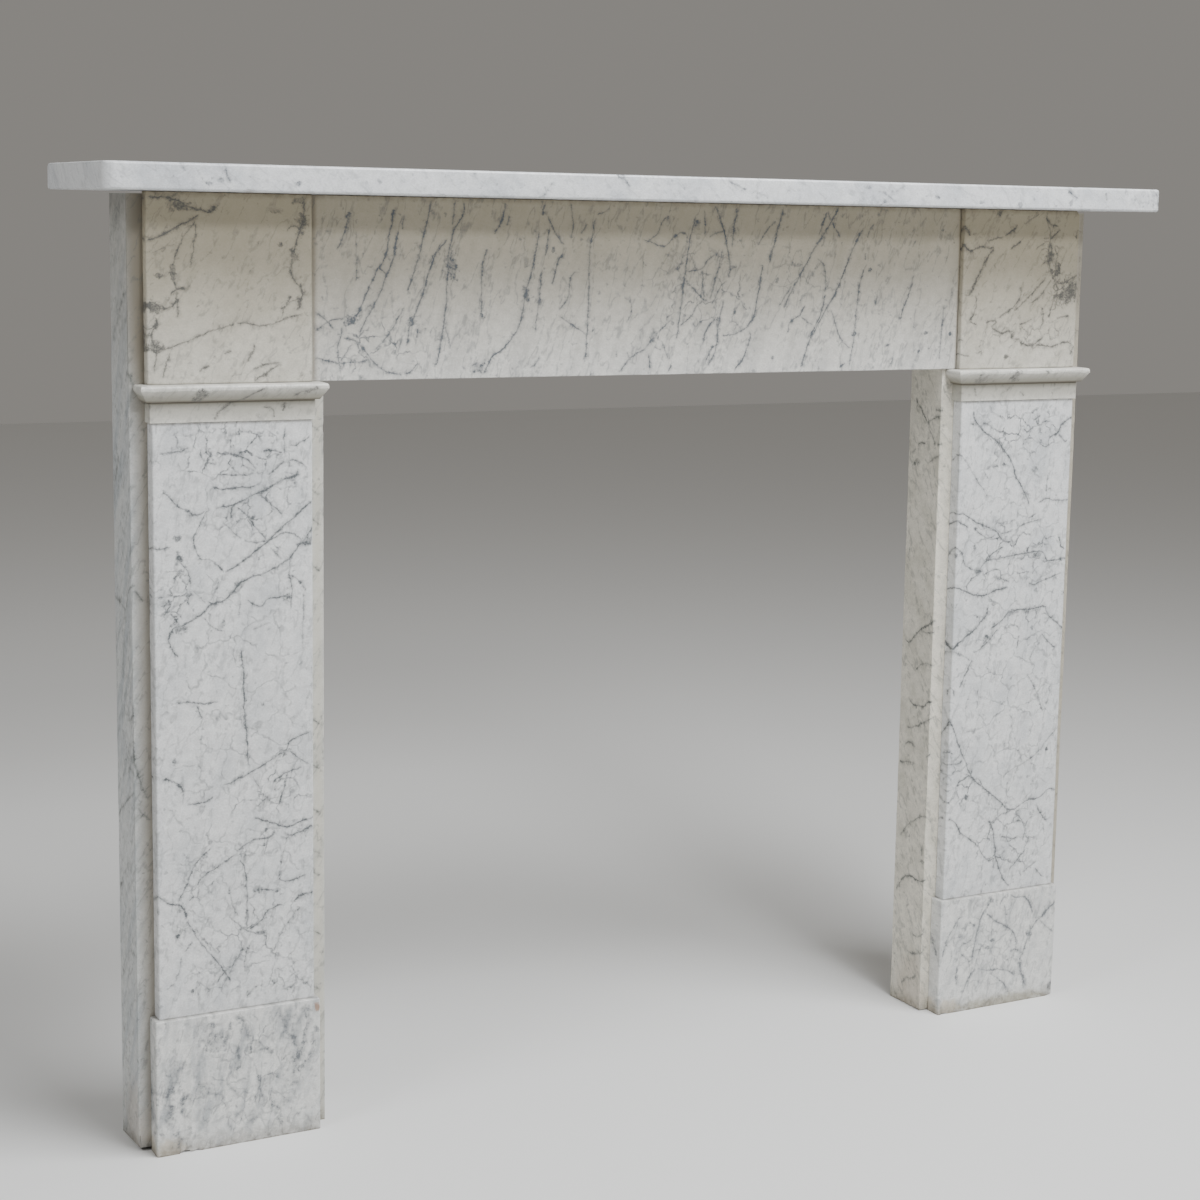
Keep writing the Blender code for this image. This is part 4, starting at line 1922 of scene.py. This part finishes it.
FRIEZE_SPOTS = (
    Spot((-409, 975), (8, 6), 0, 0.8),
    Spot((-333, 973), (5, 6), 0, 0.8),
    Spot((-282, 1040), (7, 17), 10, 0.72),
    Spot((-184, 1007), (4, 10), 10, 0.8),
    Spot((-244, 917), (8, 8), 0, 0.75),
    Spot((-411, 1096), (3, 4)),
    Spot((-148, 1059), (3, 3)),
    Spot((51, 1093), (5, 8), 15, 0.7),
    Spot((-7, 952), (6, 8), 30, 0.75),
    Spot((86, 968), (4, 10), 0, 0.7),
    Spot((20, 969), (3, 3)),
    Spot((109, 982), (3, 3)),
    Spot((292, 954), (3, 4), 0, 0.9),
    Spot((325, 1108), (3, 3)),
    Spot((313, 1038), (3, 3)),
    Spot((406, 954), (2.5, 2.5)),
    Spot((446, 953), (2.5, 2.5)),
    Spot((396, 930), (2.5, 2.5)),
    Spot((171, 1023), (3, 3)),
    Spot((168, 923), (3, 3)),
)
FRIEZE_NETS = (
    Net((-385, 945), (75, 42), 26.0, 0.78),
    Net((60, 1010), (75, 95), 30.0, 0.65, 75.0),
    Net((215, 1020), (45, 95), 28.0, 0.47, 60.0),
)
CAPITAL_VEINS = {
    Side.LEFT: veins(
        1.3, 0.8,
        ((35, 902), (19, 892), (-8, 875), (-16, 864)),
        ((97, 898), (81, 895), (71, 889)),
        ((69, 884), (66, 872)),
        ((40, 878), (54, 874), (56, 864)),
        ((-89, 884), (-94, 868)),
    ),
    Side.RIGHT: veins(
        1.1, 0.65,
        ((-69, 882), (-65, 868)),
        ((-7, 882), (-13, 876), (-25, 870)),
        ((9, 874), (16, 867)),
        ((33, 904), (41, 898)),
    ),
}
CAPITAL_SPOTS = {
    Side.LEFT: (Spot((-39, 893), (8, 7), 0, 0.85), Spot((88, 897), (10, 3), 12, 0.6)),
    Side.RIGHT: (Spot((-67, 892), (9, 6), 0, 0.75), Spot((-14, 895), (7, 8), 0, 0.75)),
}
SHELF_VEINS = (
    *veins(
        1.3, 0.6,
        ((-638, 1277), (-631, 1268)),
        ((-590, 1277), (-582, 1255)),
        ((40, 1274), (67, 1262)),
        ((240, 1272), (248, 1268)),
        ((258, 1267), (288, 1252)),
        ((558, 1273), (576, 1261)),
        ((622, 1271), (626, 1261)),
        ((671, 1269), (683, 1254)),
        ((708, 1274), (718, 1250)),
        ((-104, 1276), (-94, 1262)),
    ),
    *veins(
        2.2, 0.3,
        ((-520, 1050), (-380, 1130), (-250, 1210), (-190, 1270)),
        ((-60, 1030), (60, 1110), (180, 1190), (300, 1275)),
        ((310, 1040), (420, 1110), (520, 1190), (600, 1250)),
    ),
)
SHELF_SPOTS = (
    Spot((-607, 1255), (4, 3), 0, 0.7),
    Spot((-593, 1260), (3, 3), 0, 0.7),
    Spot((-505, 1257), (4, 3), 0, 0.7),
    Spot((-410, 1262), (3, 3), 0, 0.7),
    Spot((-104, 1276), (6, 4), 0, 0.75),
    Spot((85, 1257), (8, 4), 0, 0.35),
    Spot((349, 1259), (4, 3), 0, 0.7),
    Spot((421, 1255), (4, 3), 0, 0.7),
    Spot((481, 1252), (4, 3), 0, 0.7),
    Spot((565, 1256), (4, 4), 0, 0.75),
    Spot((690, 1262), (22, 8), 0, 0.22),
)
STREAK_LEVELS = (850, 775, 740, 685, 500, 445, 390, 340, 313, 240, 170)
JAMB_VEINS = {
    Side.LEFT: (
        *veins(
            1.5, 0.8,
            ((-52, 655), (-20, 648), (2, 643)),
            ((2, 643), (10, 665), (30, 677)),
            ((28, 671), (39, 656)),
            ((18, 918), (30, 914)),
            ((23, 920), (35, 895)),
            ((23, 490), (28, 460), (41, 425)),
            ((28, 419), (35, 408), (44, 400)),
            ((-50, 390), (-20, 410), (15, 430), (25, 435)),
        ),
        *veins(
            3.0, 0.5,
            ((-50, 1060), (-20, 1090), (0, 1110)),
            ((-45, 780), (-20, 820)),
            ((-18, 560), (-8, 610)),
            ((-5, 452), (10, 460), (28, 455)),
            ((5, 465), (15, 490), (30, 495)),
            ((0, 515), (30, 525)),
            ((-47, 300), (-20, 330), (10, 345)),
            ((-40, 200), (-10, 235), (20, 240)),
            ((-40, 950), (-10, 985), (20, 1010)),
        ),
        *veins(
            1.3, 0.7,
            *(((236, place + 5), (250, place - 5)) for place in STREAK_LEVELS),
        ),
    ),
    Side.RIGHT: (
        *veins(
            1.5, 0.95,
            ((30, 848), (12, 848)),
            ((28, 842), (15, 838), (0, 832), (-5, 828)),
            ((-8, 800), (-20, 800), (-28, 795)),
            ((30, 560), (15, 552), (-2, 543), (-20, 528), (-28, 520), (-42, 521)),
            ((28, 445), (20, 443), (10, 435), (-10, 433), (-28, 440)),
            ((30, 192), (10, 186), (-5, 188), (-18, 185), (-42, 160)),
        ),
        *veins(
            1.5, 0.75,
            ((-5, 822), (5, 815), (12, 805), (15, 798)),
            ((30, 803), (18, 800)),
            ((-30, 792), (-38, 786), (-47, 785)),
            ((30, 790), (15, 782), (0, 775), (-10, 778)),
            ((30, 545), (15, 540), (0, 540)),
            ((30, 497), (5, 495), (-5, 490), (-15, 480)),
            ((30, 423), (15, 415), (-12, 402), (-30, 398)),
            ((30, 372), (18, 365)),
            ((-5, 373), (-20, 378), (-35, 372)),
            ((-5, 352), (-20, 350), (-45, 345)),
            ((30, 282), (8, 277), (-15, 262), (-38, 238)),
            ((30, 118), (20, 108), (0, 105)),
            ((30, 90), (20, 83), (5, 78), (-12, 80)),
            ((15, 50), (5, 43), (-10, 38), (-22, 25)),
            ((-5, 828), (-15, 840), (-35, 860)),
        ),
    ),
}
JAMB_SPOTS = {
    Side.LEFT: (Spot((-20, 1085), (26, 14), 40, 0.35), Spot((0, 470), (20, 12), 30, 0.25)),
    Side.RIGHT: (
        Spot((-30, 770), (8, 7), 0, 0.5),
        Spot((18, 232), (4, 7), 0, 0.7),
        Spot((20, 215), (4, 4), 0, 0.6),
    ),
}


WARM_PALE = (0.705, 0.690, 0.635)
WARM_SHADE = (0.43, 0.42, 0.375)
WARM_INK = (0.118, 0.116, 0.106)
# Colour of the shelf's painted shadow
SHELF_SHADOW_BROWN = (0.385, 0.330, 0.215)
JOINT_BROWN = (0.150, 0.120, 0.080)
# Painted shadow of the shelf: a warm brown band over the tops of the blocks and the frieze, fading
# downward and reaching 35 mm back round their sides
BLOCK_SHELF_SHADOW = Band(Run.LEVEL, SHELF_SHADOW_LEVEL, 320.0, SHELF_SHADOW_BROWN, 0.83, 35.0)
FRIEZE_SHELF_SHADOW = Band(Run.LEVEL, SHELF_SHADOW_LEVEL, 270.0, SHELF_SHADOW_BROWN, 0.79, 35.0)
FLOOR_GRIME = Grime(0.0, 26.0, 0.42)
FLOOR_LINE = Grime(0.0, 4.0, 0.75)


def pilaster_finish(side: Side) -> MarbleFinish:
    """Return a pilaster's look: cool white with grey veins.

    Args:
        side: Which leg it belongs to.

    Returns:
        The marble's look.
    """
    left = side is Side.LEFT
    return MarbleFinish(
        f"Pilaster marble {side.word}",
        origin=side.value * LEG_CENTRE,
        cloud_turn=78.0,
        hairs=0.32,
        pale=(0.728, 0.732, 0.730),
        ink=(0.100, 0.110, 0.116),
        wander=8.0,
        seed=3.0 + side.value,
        veins=LEFT_PILASTER_VEINS if left else RIGHT_PILASTER_VEINS,
        spots=LEFT_PILASTER_SPOTS if left else RIGHT_PILASTER_SPOTS,
        nets=LEFT_PILASTER_NETS if left else RIGHT_PILASTER_NETS,
        grime=(Grime(PILASTER_TOP, 4.0, 0.4), Grime(PLINTH_TOP, 2.0, 0.35)),
    )


def block_finish(side: Side) -> MarbleFinish:
    """Return a block's look: warm white with dark wavy veins.

    Args:
        side: Which leg it belongs to.

    Returns:
        The marble's look.
    """
    left = side is Side.LEFT
    return MarbleFinish(
        f"Block marble {side.word}",
        origin=side.value * LEG_CENTRE,
        pale=WARM_PALE,
        shade=WARM_SHADE,
        clouds=0.4,
        hairs=0.34,
        wander=9.0,
        seed=7.0 + side.value,
        veins=LEFT_BLOCK_VEINS if left else RIGHT_BLOCK_VEINS,
        spots=LEFT_BLOCK_SPOTS if left else RIGHT_BLOCK_SPOTS,
        bands=(BLOCK_SHELF_SHADOW, Band(Run.UPRIGHT, 97.0 if left else -97.0, 2.5, JOINT_BROWN, 0.35)),
        nets=() if left else RIGHT_BLOCK_NETS,
        ink=WARM_INK,
        grime=(
            Grime(SHELF_UNDERSIDE, 9.0, 0.45),
            Grime(SHELF_UNDERSIDE, 3.0, 0.9),
            Grime(CAPITAL_TOP, 2.5, 0.5),
        ),
    )


def capital_finish(side: Side) -> MarbleFinish:
    """Return a capital's look: warm white, with painted shade on the neck and the splay, and a dark line
    of painted shadow and dirt in the quirk under the moulding.

    Args:
        side: Which leg it belongs to.

    Returns:
        The marble's look.
    """
    return MarbleFinish(
        f"Capital marble {side.word}",
        origin=side.value * LEG_CENTRE,
        pale=WARM_PALE,
        shade=WARM_SHADE,
        clouds=0.5,
        hairs=0.25,
        seed=11.0 + side.value,
        veins=CAPITAL_VEINS[side],
        spots=CAPITAL_SPOTS[side],
        ink=WARM_INK,
        # Painted shade on the neck and on the splay, then a dark line of painted shadow and dirt in the
        # quirk under the moulding
        bands=(
            Band(Run.LEVEL, 874.0, 20.0, (0.41, 0.395, 0.34), 0.7, 60.0),
            Band(Run.LEVEL, 888.0, 15.0, (0.29, 0.275, 0.22), 0.9, 60.0),
            Band(Run.LEVEL, 885.5, 3.2, (0.150, 0.130, 0.095), 0.95, 60.0),
        ),
    )


def plinth_finish(side: Side) -> MarbleFinish:
    """Return a plinth's look: cool grey and blotchy, stained near the floor.

    Args:
        side: Which leg it belongs to.

    Returns:
        The marble's look.
    """
    left = side is Side.LEFT
    rust = Stain((96.5, 154.0), (5.0, 6.0), (0.30, 0.14, 0.06), 0.75)
    tan = Stain((-84.0, 8.0), (24.0, 16.0), (0.50, 0.42, 0.29), 0.5)
    olive = Stain((10.0, 4.0), (95.0, 12.0), (0.36, 0.33, 0.22), 0.5)
    return MarbleFinish(
        f"Plinth marble {side.word}",
        origin=side.value * LEG_CENTRE,
        pale=(0.730, 0.728, 0.705),
        ink=(0.150, 0.162, 0.175),
        shade=(0.36, 0.38, 0.395),
        clouds=0.8 if left else 0.45,
        cloud_size=(60.0, 20.0),
        cloud_turn=76.0,
        seed=15.0 + side.value,
        veins=LEFT_PLINTH_VEINS if left else RIGHT_PLINTH_VEINS,
        spots=LEFT_PLINTH_SPOTS if left else RIGHT_PLINTH_SPOTS,
        nets=LEFT_PLINTH_NETS if left else RIGHT_PLINTH_NETS,
        stains=(rust, tan) if left else (olive, tan),
        grime=(FLOOR_GRIME, FLOOR_LINE, Grime(PLINTH_TOP, 2.0, 0.3)),
    )


def jamb_finish(side: Side) -> MarbleFinish:
    """Return a jamb's look: the left one streaked blue-grey, the right one cream.

    Args:
        side: Which leg it belongs to.

    Returns:
        The marble's look.
    """
    left = side is Side.LEFT
    # Painted shade at the top of the right jamb's inner face, under the shelf
    inner_top_shade = Stain((-35.0, 1080.0), (45.0, 40.0), (0.20, 0.19, 0.17), 0.45)
    damp = Stain((0.0, 30.0), (45.0, 60.0), (0.42, 0.34, 0.26), 0.4)
    # Painted shade on the left jamb: the pilaster's shadow down the front strip, a deeper painted shadow
    # on that strip from the capital up beside the block, and the shelf's painted shadow over the jamb's
    # top
    shaded = Band(Run.UPRIGHT, 44.0, 25.0, (0.30, 0.27, 0.22), 0.85)
    recess_shadow = Band(Run.UPRIGHT, 42.0, 34.0, (0.185, 0.158, 0.115), 0.95, 1.5, (860.0, 960.0))
    shelf_shadow_top = Band(Run.LEVEL, 1135.0, 330.0, (0.235, 0.212, 0.165), 0.62, 90.0)
    creamy = Band(Run.UPRIGHT, 247.0, 17.0, (0.60, 0.56, 0.45), 0.6)
    outer = Band(Run.UPRIGHT, 252.0, 20.0, (0.26, 0.225, 0.165), 0.6)
    return MarbleFinish(
        f"Jamb marble {side.word}",
        face=Face.WRAPPED,
        origin=side.value * (OUTER_ARRIS if left else INNER_ARRIS),
        pale=(0.585, 0.596, 0.588) if left else (0.735, 0.700, 0.610),
        shade=(0.40, 0.43, 0.45) if left else (0.50, 0.48, 0.40),
        clouds=1.0 if left else 0.6,
        cloud_size=(130.0, 18.0) if left else (60.0, 34.0),
        cloud_turn=62.0 if left else 120.0,
        seed=19.0 + side.value,
        veins=JAMB_VEINS[side],
        spots=JAMB_SPOTS[side],
        ink=(0.115, 0.124, 0.118),
        bands=(shaded, recess_shadow, shelf_shadow_top, creamy) if left else (outer,),
        stains=(damp,) if left else (inner_top_shade, damp),
        grime=(FLOOR_GRIME, FLOOR_LINE),
    )


def frieze_finish() -> MarbleFinish:
    """Return the frieze's look: faintly warm, its veins falling steeply to the left."""
    return MarbleFinish(
        "Frieze marble",
        pale=(0.690, 0.683, 0.655),
        shade=(0.40, 0.41, 0.41),
        clouds=0.45,
        cloud_size=(130.0, 26.0),
        cloud_turn=72.0,
        hairs=0.42,
        seed=2.0,
        veins=FRIEZE_VEINS,
        spots=FRIEZE_SPOTS,
        bands=(
            FRIEZE_SHELF_SHADOW,
            Band(Run.UPRIGHT, -455.0, 7.0, JOINT_BROWN, 0.6),
            Band(Run.UPRIGHT, 458.0, 5.0, JOINT_BROWN, 0.8),
        ),
        nets=FRIEZE_NETS,
        grime=(Grime(SHELF_UNDERSIDE, 9.0, 0.4), Grime(SHELF_UNDERSIDE, 3.0, 0.9)),
    )


def shelf_finish() -> MarbleFinish:
    """Return the shelf's look: cool, clouded and speckled."""
    return MarbleFinish(
        "Shelf marble",
        face=Face.LYING,
        pale=(0.705, 0.716, 0.724),
        shade=(0.42, 0.45, 0.49),
        clouds=0.55,
        hairs=0.22,
        cloud_size=(80.0, 48.0),
        cloud_turn=-40.0,
        flecks=0.5,
        roughness=0.32,
        seed=1.0,
        veins=SHELF_VEINS,
        spots=SHELF_SPOTS,
    )


def leg_finishes(side: Side) -> dict[str, MarbleFinish]:
    """Return the looks of a leg's five stones."""
    return {
        "pilaster": pilaster_finish(side),
        "block": block_finish(side),
        "capital": capital_finish(side),
        "plinth": plinth_finish(side),
        "jamb": jamb_finish(side),
    }


def build_mantelpiece() -> None:
    """Build every stone, then the studio."""
    Shelf(shelf_finish()).build()
    Frieze(frieze_finish()).build()
    for side in Side:
        Leg(side, leg_finishes(side)).build()
    Studio().build()


def main() -> None:
    """Build the mantelpiece and its studio in order."""
    logging.basicConfig(level=logging.INFO, format="%(message)s")
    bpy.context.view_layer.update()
    build_mantelpiece()


if __name__ == "__main__":
    main()
